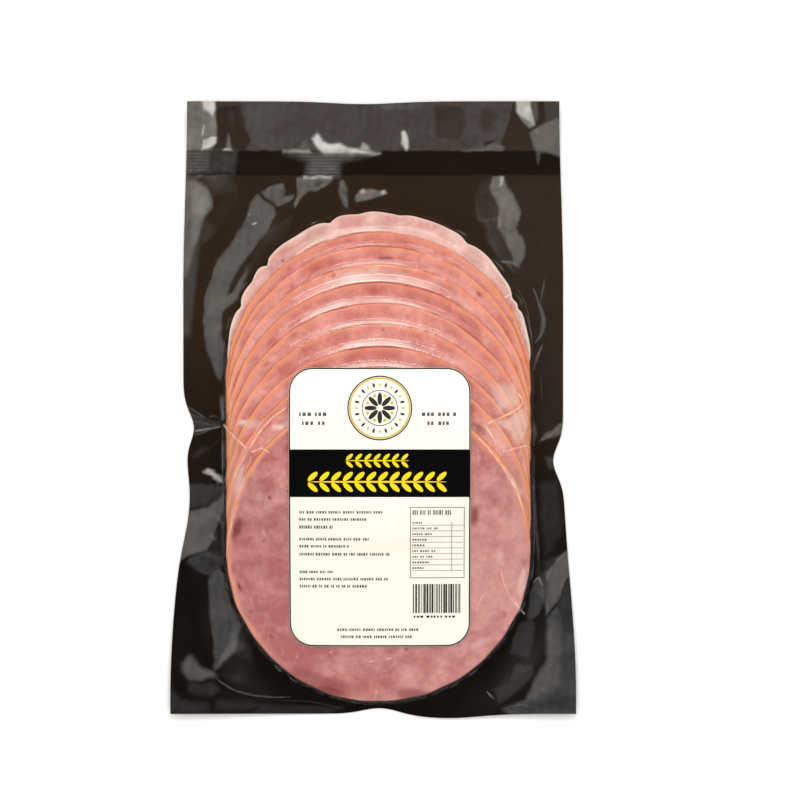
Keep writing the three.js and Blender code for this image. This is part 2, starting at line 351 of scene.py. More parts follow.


# Painted reflections: fields of film beside the meat painted grey or white, later ones over earlier ones
BORDER_REFLECTIONS = (
    # the header's lip: its left end
    MilkAndReflectionField(((-80, 105.3), (-80, 127), (-69.7, 127), (-69.7, 105.3)), 0.105, 0.6),
    MilkAndReflectionField(((-69.7, 105.3), (-69.7, 127), (-64.2, 127), (-63.8, 121), (-63.4, 113), (-63.6, 108),
         (-65.6, 105.3)), 0.12, 0.9),
    MilkAndReflectionField(((-69.2, 127), (-68.7, 121.3), (-66.4, 120.5), (-64.9, 118.8), (-63.9, 122), (-64.4, 127)),
         0.37, 1.6),
    MilkAndReflectionField(((-69.4, 105.3), (-68.9, 109.6), (-65.4, 110.7), (-63.4, 110.4), (-63.6, 108.1),
         (-66.4, 106.4)), 0.42, 1.2),
    MilkAndReflectionField(((-69.2, 111.5), (-68.9, 115.2), (-68.4, 115.2), (-68.6, 111.5)), 0.28, 0.8),
    MilkAndReflectionField(((-63.6, 127), (-63.6, 122.6), (-54.0, 123.2), (-54.0, 127)), 0.016, 1.5),
    MilkAndReflectionField(((-60.6, 105.2), (-59.4, 107.0), (-58.9, 112.2), (-57.8, 108.0), (-57.2, 105.2)), 0.11, 1.4),
    MilkAndReflectionField(((-61.2, 105.2), (-60.0, 106.2), (-58.0, 106.2), (-57.2, 105.2)), 0.34, 0.9),
    MilkAndReflectionField(((-58.6, 121), (-58.0, 116), (-56.4, 114), (-55.8, 118), (-57.0, 121.5)), 0.014, 2.4),
    # its long middle, with a darker window to the right
    MilkAndReflectionField(((-53.6, 127), (-52.3, 117), (-50.7, 112), (-49.6, 109), (-51.8, 105.3), (53.4, 105),
         (51.9, 109.2), (54.8, 116.7), (56.4, 122.5), (57, 127)), 0.029, 0.9),
    MilkAndReflectionField(((-53.0, 127), (-50.6, 116), (-46.6, 110.4), (-40.0, 113), (-38.0, 127)), 0.041, 9.0),
    MilkAndReflectionField(((3, 123), (9, 124.6), (19, 123.6), (16, 122), (6, 121.6)), 0.055, 2.4),
    MilkAndReflectionField(((25, 110), (25, 123.4), (36, 123), (37.6, 117), (36, 110)), 0.011, 1.4),
    MilkAndReflectionField(((43.6, 121.3), (43.0, 115.5), (45.4, 112.4), (48.6, 114.5), (49.6, 119.4), (47.2, 122)),
         0.010, 3.4),
    MilkAndReflectionField(((45.0, 108.6), (45.2, 107.2), (48.8, 107.9), (49.0, 109)), 0.0, 0.9),
    MilkAndReflectionField(((36, 105), (52.6, 105.4), (53.6, 106.4), (50, 108.2), (46, 106.6)), 0.08, 1.6),
    # blurred lights along the seal
    MilkAndReflectionField(((-36.5, 105.3), (-36.4, 104.2), (-24.9, 103.8), (-25.8, 105.6)), 0.24, 1.5),
    MilkAndReflectionField(((-24.9, 109.9), (-22.9, 111.9), (-20.4, 108.9), (-18.3, 107.8), (-13.3, 107.8),
         (-10.7, 106.6), (-5.2, 105.5), (2.9, 104.1), (-0.1, 103.6), (-13.8, 103.6), (-19.9, 103.8),
         (-22.9, 106.9)), 0.44, 2.0),
    MilkAndReflectionField(((-5.6, 105.4), (-4.6, 108.3), (-2.1, 107), (-0.6, 104.8)), 0.26, 1.6),
    MilkAndReflectionField(((-29.4, 106.4), (-28.2, 108.6), (-26.2, 107.4), (-26.6, 106)), 0.08, 2.0),
    MilkAndReflectionField(((11.4, 112.2), (12.6, 113), (13.4, 112.4), (14.7, 106.2), (13.4, 105), (11.6, 107.6)), 0.38,
         1.4),
    # its right end
    MilkAndReflectionField(((57.4, 127), (58.3, 120.4), (60.6, 117.2), (63.5, 114.7), (65.5, 115.5), (64.6, 119.4),
         (63.5, 127)), 0.33, 1.4),
    MilkAndReflectionField(((59, 119.4), (61.2, 116.2), (63.4, 114.2), (64.4, 114.4), (63.6, 117)), 0.12, 1.6),
    MilkAndReflectionField(((64.2, 127), (64.8, 119), (66.6, 117), (66.4, 127)), 0.05, 1.2),
    MilkAndReflectionField(((69.6, 127), (69.8, 117), (75.8, 118.6), (78, 127)), 0.024, 1.6),
    MilkAndReflectionField(((63.5, 112.1), (67, 114.7), (74.5, 118.4), (77, 118), (77, 102.4), (71, 104), (67, 104.5),
         (65.2, 106.3)), 0.088, 1.8),
    MilkAndReflectionField(((66, 105), (67.8, 104.6), (67.2, 99.8), (66.6, 99.8)), 0.05, 1.2),
    # the seal: a glint on its ribs, and painted reflections on the pressed ribs at its left end
    MilkAndReflectionField(((-36, 104.4), (2, 104.2), (-6, 102.4), (-13.6, 100.6), (-14, 94.8), (-27, 94.8),
         (-26.6, 100.6), (-31, 102.6)), 0.085, 4.5, ribs_along=1.3),
    MilkAndReflectionField(((-66, 105.2), (-55, 105.2), (-56.4, 96), (-66.6, 96)), 0.034, 3.0, ribs_across=1.15),
    MilkAndReflectionField(((-80, 105.3), (-66, 105.3), (-66.6, 96.6), (-80, 95.2)), 0.07, 2.4, ribs_along=1.35),
    MilkAndReflectionField(((-80, 94.9), (-64, 94.7), (-64, 94), (-80, 94)), 0.10, 0.8),
    # below the seal on the left: the side seal, and a faint painted reflection beside it
    MilkAndReflectionField(((-69, 95), (-60, 95), (-56, 90), (-60, 87), (-66, 90)), 0.010, 4.0),
    MilkAndReflectionField(((-80, 76), (-70, 74), (-72.4, 50), (-74.4, 30), (-80, 30)), 0.03, 3.0),
    MilkAndReflectionField(((-80, 93.6), (-72, 93), (-69.5, 91.5), (-66.5, 88.5), (-65.4, 85), (-65.9, 81.5),
         (-69.4, 76.5), (-70, 72), (-73, 64), (-75.4, 54), (-80, 52)), 0.09, 1.6),
    MilkAndReflectionField(((-72.5, 92), (-68.6, 90), (-66.6, 85), (-67.4, 81), (-71.5, 78), (-73.5, 85)), 0.135, 4.0),
    MilkAndReflectionField(((-69.8, 76), (-66, 77), (-65, 71), (-69.6, 68)), 0.012, 3.0),
    # a wedge under the seal in two pieces, a sliver and a streak beside it
    MilkAndReflectionField(((-45.4, 88.1), (-42.6, 90.2), (-36.5, 91.7), (-35.6, 89.4), (-36.3, 86.8), (-32.5, 87.1),
         (-32, 86.1), (-36, 83.6), (-38.6, 82.6), (-40.6, 84.1)), 0.085, 0.9),
    MilkAndReflectionField(((-31, 94.4), (-16, 94.4), (-19.3, 90.7), (-22.9, 88.4), (-25.4, 89.2), (-29, 86.6),
         (-31.5, 82.1), (-32.2, 83.6), (-30.5, 87.1), (-31, 90.7)), 0.085, 1.0),
    MilkAndReflectionField(((-28.5, 94.8), (-16.6, 94.8), (-17.2, 93.8), (-28, 93.6)), 0.24, 0.8),
    MilkAndReflectionField(((-24.2, 92.6), (-20, 92.8), (-21.6, 90.4), (-24, 90.6)), 0.03, 1.4),
    MilkAndReflectionField(((-13.8, 92.7), (-12.3, 93.2), (-10.7, 89.7), (-10.5, 81.6), (-12.3, 83.1), (-13.5, 87.1)),
         0.09, 0.9),
    MilkAndReflectionField(((-7.2, 85.1), (-7.2, 87.1), (-4.7, 89.2), (-1.1, 89.7), (2.9, 88.6), (4.4, 89.4), (5.7, 87.9),
         (2.4, 86.6), (-2.6, 85.1), (-6.2, 84.1)), 0.11, 1.2),
    MilkAndReflectionField(((-5.4, 88.9), (-4.2, 89.6), (-3.2, 88.4), (-4.4, 87.6)), 0.24, 1.0),
    MilkAndReflectionField(((3, 88.6), (4.4, 89.4), (5.7, 88.1), (3.4, 87.4)), 0.26, 1.0),
    # the long fold down the upper left, with a dark slit in it
    MilkAndReflectionField(((-47.7, 86.6), (-46.9, 87.2), (-43.6, 84.7), (-40.3, 82.2), (-39.8, 79), (-42.2, 74),
         (-49.7, 63.5), (-51.2, 55), (-55.6, 44.5), (-61, 40), (-61.7, 32.5), (-60.6, 25),
         (-61.4, 11.5), (-63.2, 13), (-67.7, 25), (-68.9, 35.5), (-68.4, 45.3), (-63.2, 60.5),
         (-55.7, 70), (-52.7, 75.5), (-50.7, 80), (-49.7, 84.1)), 0.068, 1.0),
    MilkAndReflectionField(((-49, 64.8), (-48.2, 62.9), (-52.7, 55), (-57.2, 47.5), (-59.5, 46.5), (-57.2, 52.8),
         (-52.7, 60.3)), 0.0, 1.0),
    # the wavy streak on the upper right, and a faint painted reflection down that side
    MilkAndReflectionField(((40, 93), (80, 95), (80, -10), (66, -10), (64, 40), (50, 60)), 0.005, 8.0),
    MilkAndReflectionField(((47.9, 94.6), (52.5, 94.6), (53.1, 92.4), (56.6, 87.2), (60, 79.7), (57.7, 73.9),
         (61.8, 65.8), (61.2, 62.3), (59.2, 57.7), (57.1, 58.8), (56, 64), (52.5, 70.4), (50.5, 74.4),
         (50.8, 82), (47.3, 90.1)), 0.098, 1.0),
    MilkAndReflectionField(((51.2, 94.6), (52.6, 94.4), (52.2, 90.6), (51.2, 90.4)), 0.25, 0.9),
    # the left pinch and the tight film beside the meat
    MilkAndReflectionField(((-77, 0.6), (-74, -7.4), (-74, -10.6), (-62.4, -7), (-61, -5), (-66, -4.6), (-74, -0.8)),
         0.022, 1.2),
    MilkAndReflectionField(((-62.2, 5.4), (-60.4, 5.4), (-60.4, -4), (-61.6, -3.6)), 0.075, 0.9),
    MilkAndReflectionField(((-61.7, -12), (-60.9, -12), (-60.5, -23.6), (-61.4, -23.6)), 0.06, 0.7),
    MilkAndReflectionField(((-73.4, -18.4), (-69.6, -15.2), (-66, -16), (-69.6, -17.6), (-72.8, -19.8)), 0.012, 2.4),
    MilkAndReflectionField(((-69.2, -25), (-66.9, -24), (-64.2, -25.5), (-61.5, -27.3), (-61.1, -29.5), (-62.9, -29.1),
         (-66.5, -26.1)), 0.34, 1.0),
    # flat facets below it, down to the corner
    MilkAndReflectionField(((-78, -30.4), (-69.6, -30), (-60.6, -30.9), (-60.2, -32.2), (-63.8, -36.3), (-67.4, -38.5),
         (-70.5, -39.2), (-78, -40.6)), 0.024, 0.9),
    MilkAndReflectionField(((-78, -41.4), (-74.1, -41.2), (-67.4, -39.4), (-63.8, -37.2), (-60.6, -33.6), (-60.2, -41.7),
         (-62.4, -44.4), (-64.2, -48.9), (-65.6, -53.8), (-67.4, -56.5), (-71.9, -57.9), (-80, -61.6)),
         0.077, 1.0),
    MilkAndReflectionField(((-61.6, -42), (-60.4, -41), (-59.6, -62), (-61.2, -62)), 0.035, 0.9),
    MilkAndReflectionField(((-76, -61.6), (-71.9, -58.6), (-67.4, -57.4), (-61.5, -59.6), (-60.6, -62.6), (-66.6, -67.6),
         (-70, -66)), 0.028, 1.2),
    MilkAndReflectionField(((-66.9, -68.6), (-62.9, -63.4), (-60.6, -66.3), (-60, -71.5), (-57.7, -78.5), (-55.4, -83.1),
         (-53.1, -87.7), (-56.5, -93.5), (-55.4, -97), (-64.3, -105.7), (-64.6, -95.8), (-66.4, -81.9)),
         0.042, 1.0),
    MilkAndReflectionField(((-55.4, -92), (-54.6, -94.4), (-63.4, -104.8), (-64.2, -103.4), (-58.4, -96)), 0.065, 1.8),
    MilkAndReflectionField(((-56, -98.7), (-53.1, -93.5), (-49.6, -95.8), (-49, -102.2)), 0.011, 1.6),
    MilkAndReflectionField(((-62, -107), (-55, -107.6), (-52.4, -110.6), (-57, -110.4)), 0.012, 2.0),
    MilkAndReflectionField(((-77.9, -102.8), (-73.9, -99.3), (-71, -103.4), (-65.2, -106.8), (-64, -108), (-74.5, -109.7),
         (-76.8, -106.2)), 0.075, 2.6),
    MilkAndReflectionField(((-75, -110.6), (-64, -110.6), (-62.6, -113.4), (-65.6, -116.2), (-74.4, -115)), 0.015, 2.0),
    MilkAndReflectionField(((-82, -112), (-78.5, -117.2), (-67, -119), (-66, -122.4), (-84, -123.6)), 0.015, 2.4),
    MilkAndReflectionField(((-63.4, -117.6), (-50, -117.4), (-46, -119.6), (-52, -122), (-64, -121.6)), 0.012, 2.0),
    MilkAndReflectionField(((-46, -119.4), (-12, -120.4), (-20, -124.4), (-50, -124.4)), 0.012, 2.0),
    # the right pinch, and the brown run below it
    MilkAndReflectionField(((67.3, -12.9), (69.6, -10.1), (74.6, -6.3), (77, -5.4), (77, -9.4), (71.6, -11.4)), 0.085,
         0.9),
    MilkAndReflectionField(((63.6, 14), (64.9, 14), (64.7, -3), (66.6, -11), (65, -11.6), (63.2, -3)), 0.055, 0.9),
    MilkAndReflectionField(((69.6, -19), (74.2, -19.4), (74.4, -24), (71.4, -23.6)), 0.036, 2.0),
    MilkAndReflectionField(((67.5, -29.6), (74.6, -29), (76, -37), (76.6, -50), (70, -59), (67.6, -44)), 0.012, 3.0),
    MilkAndReflectionField(((64.9, -26), (67.4, -56), (67, -64), (66.2, -56), (64.4, -34)), 0.04, 0.8),
    # the grey corner on the right
    MilkAndReflectionField(((70.8, -84), (75, -79), (78, -90), (86, -90), (86, -127), (61.9, -127), (51.8, -121.4),
         (62.5, -117.4), (65.5, -109.8), (70.1, -102.2), (71.4, -94)), 0.042, 1.6),
    MilkAndReflectionField(((75.4, -77.5), (78.2, -69.5), (86, -62), (86, -92), (77, -90)), 0.02, 2.4),
    MilkAndReflectionField(((71.1, -85), (74.1, -85), (75.6, -97.2), (75.6, -112.4), (62.5, -117.4), (65.5, -109.8),
         (70.1, -102.2)), 0.066, 3.4),
    MilkAndReflectionField(((75.6, -100), (81, -98), (81, -108), (76, -108)), 0.030, 4.0),
    MilkAndReflectionField(((54, -120.6), (64, -118.4), (76, -116.6), (86, -116), (86, -122), (60, -121.8)), 0.027, 3.0),
    MilkAndReflectionField(((70.1, -65.8), (77.7, -57.7), (84, -54), (84, -62), (78, -68.9), (75.1, -77), (70.1, -83.3),
         (70.6, -74.4), (70.3, -68.4)), 0.076, 1.0),
    # dim facets between it and the meat
    MilkAndReflectionField(((64, -71.9), (67.5, -67.3), (69.6, -71.4), (69, -78), (67, -83), (64.5, -85), (62.5, -84),
         (63.5, -77)), 0.03, 1.0),
    MilkAndReflectionField(((59.4, -86.6), (64.5, -85), (65.5, -88.1), (64.5, -95.2), (62.5, -100.2), (55.4, -98.7),
         (57.4, -92.1)), 0.021, 1.2),
    MilkAndReflectionField(((57.4, -103.3), (64.5, -103.3), (64.5, -107.3), (61.5, -111.3), (55.4, -116.4),
         (50.8, -118.9), (48.8, -112.9), (53.9, -111.3), (56.4, -107.3)), 0.018, 1.4),
)

# Fields of film over the meat that span a little air, milky partly for that and partly as painted highlight
MEAT_HAZE_AND_HIGHLIGHTS = (
    MilkAndReflectionField(((45.8, -5.6), (53.9, -3.5), (60.4, 0.5), (61.5, -0.5), (62, -8.1), (59.4, -13.1),
         (56.9, -12.6), (55.4, -9.1), (50.8, -6.1)), 0.24, 1.8),
    MilkAndReflectionField(((48, 10), (57, 10), (59, 4), (58, 1), (50, -1)), 0.22, 5.0),
    MilkAndReflectionField(((44, -7), (50, -15), (55, -17), (52, -8)), 0.12, 2.0),
    MilkAndReflectionField(((53, -25), (55.4, -26), (60, -34), (58.6, -35)), 0.34, 2.0),
    MilkAndReflectionField(((-54.3, -4), (-50, -4.4), (-51.6, -6.6), (-53.8, -6.2)), 0.34, 2.0),
    MilkAndReflectionField(((-51.6, -4.6), (-45, -5), (-45.4, -7), (-51, -6.8)), 0.22, 1.6),
    MilkAndReflectionField(((-41, -6), (-35.6, -6), (-35.6, -8.2), (-39.6, -8)), 0.34, 2.0),
    MilkAndReflectionField(((-55.6, -26), (-52.6, -22), (-51.6, -30), (-55, -36)), 0.24, 2.6),
    MilkAndReflectionField(((60.2, -63.3), (62, -65.8), (61, -71.9), (59.9, -75.9), (57.9, -73.4), (58.9, -68.3)), 0.28,
         2.0),
    MilkAndReflectionField(((49.6, -57), (52.6, -57.4), (51.6, -61), (50, -60.6)), 0.25, 2.0),
    MilkAndReflectionField(((55, -76), (58, -77), (62.4, -83.6), (60.4, -84)), 0.24, 2.2),
    MilkAndReflectionField(((62.4, -80), (61, -84), (52, -101), (45, -110), (47, -109.4), (54, -100.6), (61.6, -87)),
         0.22, 1.4),
    MilkAndReflectionField(((39, -94.5), (46, -92.6), (47, -94), (40, -97)), 0.16, 2.0),
    MilkAndReflectionField(((-46.6, -33.6), (-44.6, -33.4), (-44.6, -36.8), (-46.8, -36.6)), 0.16, 2.0),
    MilkAndReflectionField(((-3, 57), (3, 58), (1, 54)), 0.26, 2.0),
)


@dataclass(frozen=True)
class Crease:
    """A sharp welt of pinched film, lighter than what lies round it as a painted highlight."""

    path: tuple[tuple[float, float, float], ...]  # x, y and width at each bend
    milk_and_reflection: float
    samples: int = 81  # places along the path at which it is smoothed
    smoothed_over: int = 9  # of them, an odd number

    def strip(self, across: np.ndarray, along: np.ndarray) -> tuple[np.ndarray, np.ndarray]:
        """Lays a strip on the crease.

        Args:
            across: shares across the strip.
            along: shares along it.

        Returns:
            x and y of each point.
        """
        x, y, width = np.array(self.path, float).T
        far = np.concatenate([[0.0], np.cumsum(np.hypot(np.diff(x), np.diff(y)))])
        even = np.linspace(0, far[-1], self.samples)
        ends, window = self.smoothed_over // 2, np.ones(self.smoothed_over) / self.smoothed_over
        smoothed = []
        for values in (x, y, width):
            padded = np.pad(np.interp(even, far, values), ends, mode="reflect", reflect_type="odd")
            smoothed.append(np.convolve(padded, window, "valid"))
        even_x, even_y, even_width = smoothed
        slope_x, slope_y = np.gradient(even_x), np.gradient(even_y)
        length = np.hypot(slope_x, slope_y)
        place = along * far[-1]
        offset = (across - 0.5) * np.interp(place, even, even_width)
        return (
            np.interp(place, even, even_x) + offset * np.interp(place, even, slope_y / length),
            np.interp(place, even, even_y) - offset * np.interp(place, even, slope_x / length),
        )


CREASES = (
    # the left pinch, where they run together at the meat
    Crease(((-75.2, 1.4, 1.0), (-70, -2, 1.0), (-67.6, -3.7, 0.8)), 0.06),
    Crease(((-66.6, -3.2, 0.6), (-64.6, -2.2, 1.0), (-61.8, -3.8, 0.6)), 0.06),
    Crease(((-74.6, -1.6, 0.7), (-66, -4.2, 0.6)), 0.03),
    Crease(((-73.2, -4.6, 0.8), (-63, -6.6, 0.6)), 0.05),
    Crease(((-72.6, -8.6, 1.2), (-66, -7.6, 1.2), (-61.8, -6.8, 0.7)), 0.18),
    Crease(((-72.6, -10.4, 1.0), (-66.8, -8.5, 0.6)), 0.05),
    Crease(((-61.8, -10.8, 0.6), (-66.2, -15.6, 0.6)), 0.02),
    # round the lower left corner to the hem
    Crease(((-64, -108.2, 0.6), (-62.3, -110, 1.0), (-56.5, -113.6, 1.2), (-49.6, -115.6, 1.2),
           (-40.3, -116.6, 1.0), (-33.4, -116.4, 0.5)), 0.07),
    Crease(((-36.3, -117.8, 0.5), (-26.4, -118.2, 0.6), (-19.5, -119.4, 0.6), (-12, -121.2, 0.4)),
           0.03),
    # sparkles on the long fold
    Crease(((-48.6, 81.3, 0.7), (-47.8, 81.3, 0.7)), 0.3),
    Crease(((-50.8, 79.1, 0.8), (-49.8, 79.2, 0.8)), 0.32),
    Crease(((-49.4, 75.0, 1.2), (-47.0, 76.0, 1.4)), 0.34),
    Crease(((-44.4, 77.5, 0.5), (-43.8, 77.5, 0.5)), 0.16),
    Crease(((-43.7, 75.2, 0.6), (-43.1, 75.2, 0.6)), 0.16),
    Crease(((-50.2, 69.9, 0.7), (-49.4, 70.1, 0.7)), 0.24),
    # the wisps on the right
    Crease(((64.8, 49.6, 0.5), (66.4, 45.6, 1.1), (67.6, 42, 1.7), (69.2, 36.6, 3.0), (68.4, 31, 2.0),
           (65.4, 26.6, 0.5)), 0.09),
    Crease(((69.6, 53.4, 0.5), (68.6, 48, 1.4), (67.8, 43.4, 0.7)), 0.055),
    Crease(((68.8, 26.8, 0.5), (66.3, 21, 1.8), (64.9, 15.8, 0.5)), 0.09),
    Crease(((68.3, 13.4, 0.4), (68.3, 9, 1.1), (68.3, 3.6, 0.5)), 0.035),
    Crease(((57.6, 50.6, 0.4), (60.6, 45.6, 0.5), (63.2, 38, 0.5), (64.2, 30, 0.4)), 0.07),
    # the right pinch and below it
    Crease(((67.2, -12.8, 0.7), (71.4, -10.6, 0.9), (75.6, -7, 1.0)), 0.06),
    Crease(((64.5, -70.4, 0.7), (67, -67.8, 1.1), (68.6, -71.4, 0.9)), 0.13),
    Crease(((45.8, -113.9, 0.6), (47.6, -115.9, 1.2), (49.3, -117.4, 0.6)), 0.13),
    Crease(((52, -120.8, 0.5), (60, -119.4, 0.9), (66, -120.4, 0.5)), 0.04),
    # over the meat by the left pinch
    Crease(((-60.8, -5.7, 1.0), (-56.1, -10.6, 1.1), (-50, -16, 1.3)), 0.55),
    Crease(((-50, -16, 1.3), (-44.9, -7.9, 1.5), (-40.4, -3, 1.2), (-34.6, 1.1, 0.9)), 0.5),
    Crease(((-50, -16, 1.2), (-55.2, -25, 1.1), (-56.4, -30.6, 0.6)), 0.5),
    Crease(((-49, -17, 1.0), (-44.6, -15.2, 1.1), (-41, -17.4, 0.6)), 0.45),
    Crease(((-54.3, -38, 0.7), (-56.6, -43.5, 1.1), (-58.4, -52.5, 1.0), (-59.6, -60.8, 0.5)), 0.45),
    Crease(((-48.6, -18, 0.8), (-50.6, -24, 0.9), (-53.6, -33, 0.6)), 0.3),
    Crease(((-57.9, 6, 0.6), (-57.2, -1, 0.9), (-58.4, -5, 0.6)), 0.25),
    # over the meat by the right pinch
    Crease(((57.9, 7.3, 0.8), (59.9, 4.6, 1.1), (60.4, 2.5, 1.2), (56.9, -0.5, 1.3), (51.9, -2.8, 1.3),
           (45.8, -5.6, 1.0)), 0.6),
    Crease(((44.8, -5.8, 1.0), (47.8, -10.6, 1.2), (49.8, -14.2, 0.7)), 0.5),
    Crease(((42.2, -11.1, 0.8), (45.3, -14.2, 1.1), (49.3, -19.2, 1.1), (52.4, -23.3, 1.1),
           (54.4, -26.8, 1.7), (57.9, -32.4, 1.5), (60.6, -41, 0.6)), 0.5),
    Crease(((51.9, -16.7, 0.8), (55.9, -15.7, 1.1), (59.9, -14.7, 1.1), (63, -13.9, 0.7)), 0.5),
    Crease(((52.9, 45.2, 0.7), (54.6, 46.2, 1.6), (56.4, 47.5, 0.8)), 0.55),
    # short ones on the front slice
    Crease(((51.3, -63.3, 1.3), (52.3, -68.8, 1.1), (54.9, -74.9, 1.1), (58.4, -79.4, 1.5),
           (61.6, -83, 0.8)), 0.36),
    Crease(((44.5, -74.9, 1.0), (42.2, -78.5, 1.0), (41.5, -82, 0.6)), 0.3),
    Crease(((-17.9, -98.3, 0.8), (-16.5, -97.5, 1.0)), 0.5),
    Crease(((-1.8, -102.1, 0.9), (0.4, -101.1, 1.1)), 0.55),
    Crease(((4.4, -100.8, 0.6), (7.8, -100.2, 1.0)), 0.5),
)


@dataclass(frozen=True)
class Form:
    """Heights of the two webs, the slices and the sticker at any place in the pack."""

    outline: Outline = Outline()
    stack: Stack = Stack()
    web_thickness: float = 0.25
    film_gap: float = 0.15  # between the two webs, so that their unlike grids never cross
    film_thickness: float = 0.1
    film_over_meat: float = 0.2
    tent_reach: float = 0.35  # the film would reach the surface this far above the meat
    tent_slack: float = 0.55  # and this much farther out beside and below it
    tent_ripple: Ripple = Ripple(0.1, 16.0, 21)
    border_lift: float = 0.6
    lift_run: float = 20.0
    seal_low: float = 95.0
    seal_high: float = 105.0
    # how far the header's open edge curls up from its seal, across the pack
    lip_rises: tuple[tuple[float, float], ...] = (
        (-76, 2.2), (-66, 1.8), (-50, 1.6), (-20, 1.9), (15, 1.5), (50, 1.9), (76, 1.6),
    )
    # share of each crescent that the film spans before the next slice's edge
    bridges: tuple[float, ...] = (0.36, 0.26, 0.20, 0.78, 0.46, 0.32, 0.44, 0.30, 0.40)
    film_ripple: Ripple = Ripple(0.02, 13.0, 4)
    rag: Ripple = Ripple(0.2, 6.0, 71)
    # the cloud below also makes the painted reflections and highlights come and go
    cloud: Ripple = Ripple(0.13, 5.0, 73)  # share by which a milky field's strength comes and goes
    fold_rag: Ripple = Ripple(0.4, 13.0, 72)
    bridge_ripple: Ripple = Ripple(0.3, 30.0, 11)

    def border(self, x: np.ndarray, y: np.ndarray) -> np.ndarray:
        """How far the clinging webs stand off the surface round the meat.

        Args:
            x: places across the pack.
            y: places along the pack.

        Returns:
            The height at each place.
        """
        outside = self.stack.outside(x, y)
        lip = np.clip((y - self.seal_high) / (self.outline.half_length - self.seal_high), 0, 1)
        calm = 1 - 0.75 * smooth_step(self.seal_low, self.seal_high, y)
        waves = 0.12 * np.sin(x / 17 + 1.3) * np.sin(y / 23 + 0.4) + 0.07 * np.sin(x / 11 - y / 15)
        hem_curl = 1.6 * bell(np.hypot(np.abs(x) - 80, y + 122), 22)
        header_curl = 0.8 * bell(np.hypot(np.abs(x) - 76, y - 125), 24)
        free = self.border_lift + waves * calm + hem_curl + header_curl
        lip_x, lip_rise = np.array(self.lip_rises, float).T
        lifted = smooth_step(0, self.lift_run, outside) * free + lip * np.interp(x, lip_x, lip_rise)
        folds = highest(BORDER_FOLDS, x + self.fold_rag.at(x, y), y + self.fold_rag.at(y, x))
        return np.maximum(lifted + folds + calm * self.film_ripple.at(x, y), 0)

    def reflection_veil(self, x: np.ndarray, y: np.ndarray) -> np.ndarray:
        """How strongly the film beside the meat is painted with grey or white reflections, in slightly ragged
        fields.
        """
        rag_x, rag_y = self.rag.at(x, y), self.rag.at(y, x)
        milk_and_reflection = np.zeros_like(x)
        for reflection_veil in BORDER_REFLECTIONS:
            ribbed = reflection_veil.ribs_across or reflection_veil.ribs_along
            milk_and_reflection += (reflection_veil.milk_and_reflection - milk_and_reflection) * reflection_veil.cover(
                x if ribbed else x + rag_x, y if ribbed else y + rag_y
            )
        clouded = 1 + self.cloud.at(x, y) + self.cloud.at(0.3 * y, 0.3 * x)
        return milk_and_reflection * clouded * smooth_step(0, 1.0, self.stack.outside(x, y))

    def webs_underside(self, x: np.ndarray, y: np.ndarray) -> np.ndarray:
        """Underside of the back web, which lies flat under the meat."""
        return self.border(x, y) * smooth_step(0, 2.5, self.stack.outside(x, y))

    def haze_and_highlight(self, x: np.ndarray, y: np.ndarray) -> np.ndarray:
        """How milky the film looks over the meat, partly as painted highlight, apart from where it spans down
        from a slice's edge.
        """
        rag = self.rag.at(x, y)
        fields = [reflection_veil.milk_and_reflection * reflection_veil.cover(x + rag, y - rag) for reflection_veil in MEAT_HAZE_AND_HIGHLIGHTS]
        return np.maximum.reduce(fields) * (1 + self.cloud.at(x, y))

    def bridge_span(self, x: np.ndarray, y: np.ndarray) -> np.ndarray:
        """Share of a crescent that the film spans before the next slice's edge."""
        step = np.clip(np.floor(self.stack.begun(x, y)), 0, self.stack.last - 1).astype(int)
        return np.clip(np.array(self.bridges)[step] * (1 + self.bridge_ripple.at(x, y)), 0.1, 0.8)

    def bridging(self, x: np.ndarray, y: np.ndarray) -> np.ndarray:
        """How far the film has climbed from the slice below towards the next slice's edge, from 0 to 1."""
        begun = np.clip(self.stack.begun(x, y), 0, self.stack.last)
        to_edge = np.ceil(begun) - begun
        return np.where(to_edge > 0, (1 - np.clip(to_edge / self.bridge_span(x, y), 0, 1)) ** 1.9, 0)

    def film_underside(self, x: np.ndarray, y: np.ndarray) -> np.ndarray:
        """Underside of the clear film over the meat and the border.

        Args:
            x: places across the pack.
            y: places along the pack.

        Returns:
            The height at each place.
        """
        stack = self.stack
        outside = stack.outside(x, y)
        cling = self.border(x, y) + self.web_thickness + self.film_gap
        begun = np.clip(stack.begun(x, y), 0, stack.last)
        stair = np.floor(begun) + self.bridging(x, y)
        slices = np.maximum(stair + 1 - stack.ended(x, y), 1)
        ripple = 0.5 * self.film_ripple.at(x, y) * smooth_step(0, 2, -outside)
        meat = stack.base + self.film_over_meat + stack.thickness * slices + ripple
        edge = stack.base + self.film_over_meat + stack.thickness
        slack = self.tent_slack * (1 - smooth_step(30, 75, y)) + self.tent_ripple.at(x, y)
        reach = np.maximum(self.tent_reach + slack, 0.3)
        tent = edge * (1 - np.maximum(outside, 0) / reach)
        return np.where(outside > 0, np.maximum(tent, cling), meat)

    def sticker_underside(self, x: np.ndarray, y: np.ndarray) -> np.ndarray:
        """A smooth skin that rests on the film over the edges of the slices."""
        stack, ease = self.stack, 0.8
        begun = stack.number_at(y - stack.chord(x), beyond=True)
        ended = stack.number_at(y + stack.chord(x))
        count = soft_min(stack.last, begun, ease) + soft_min(0, -ended, ease) + 1
        # soft_min cuts its corners by a quarter of its width, and this clears them again
        count += ease / 4 * (1 - smooth_step(ease, 3 * ease, np.abs(begun - stack.last)))
        count += ease / 4 * (1 - smooth_step(ease, 3 * ease, np.abs(ended)))
        clear = self.film_over_meat + self.film_thickness + 0.12
        return stack.base + clear + stack.thickness * count


# ---- Meshes ----


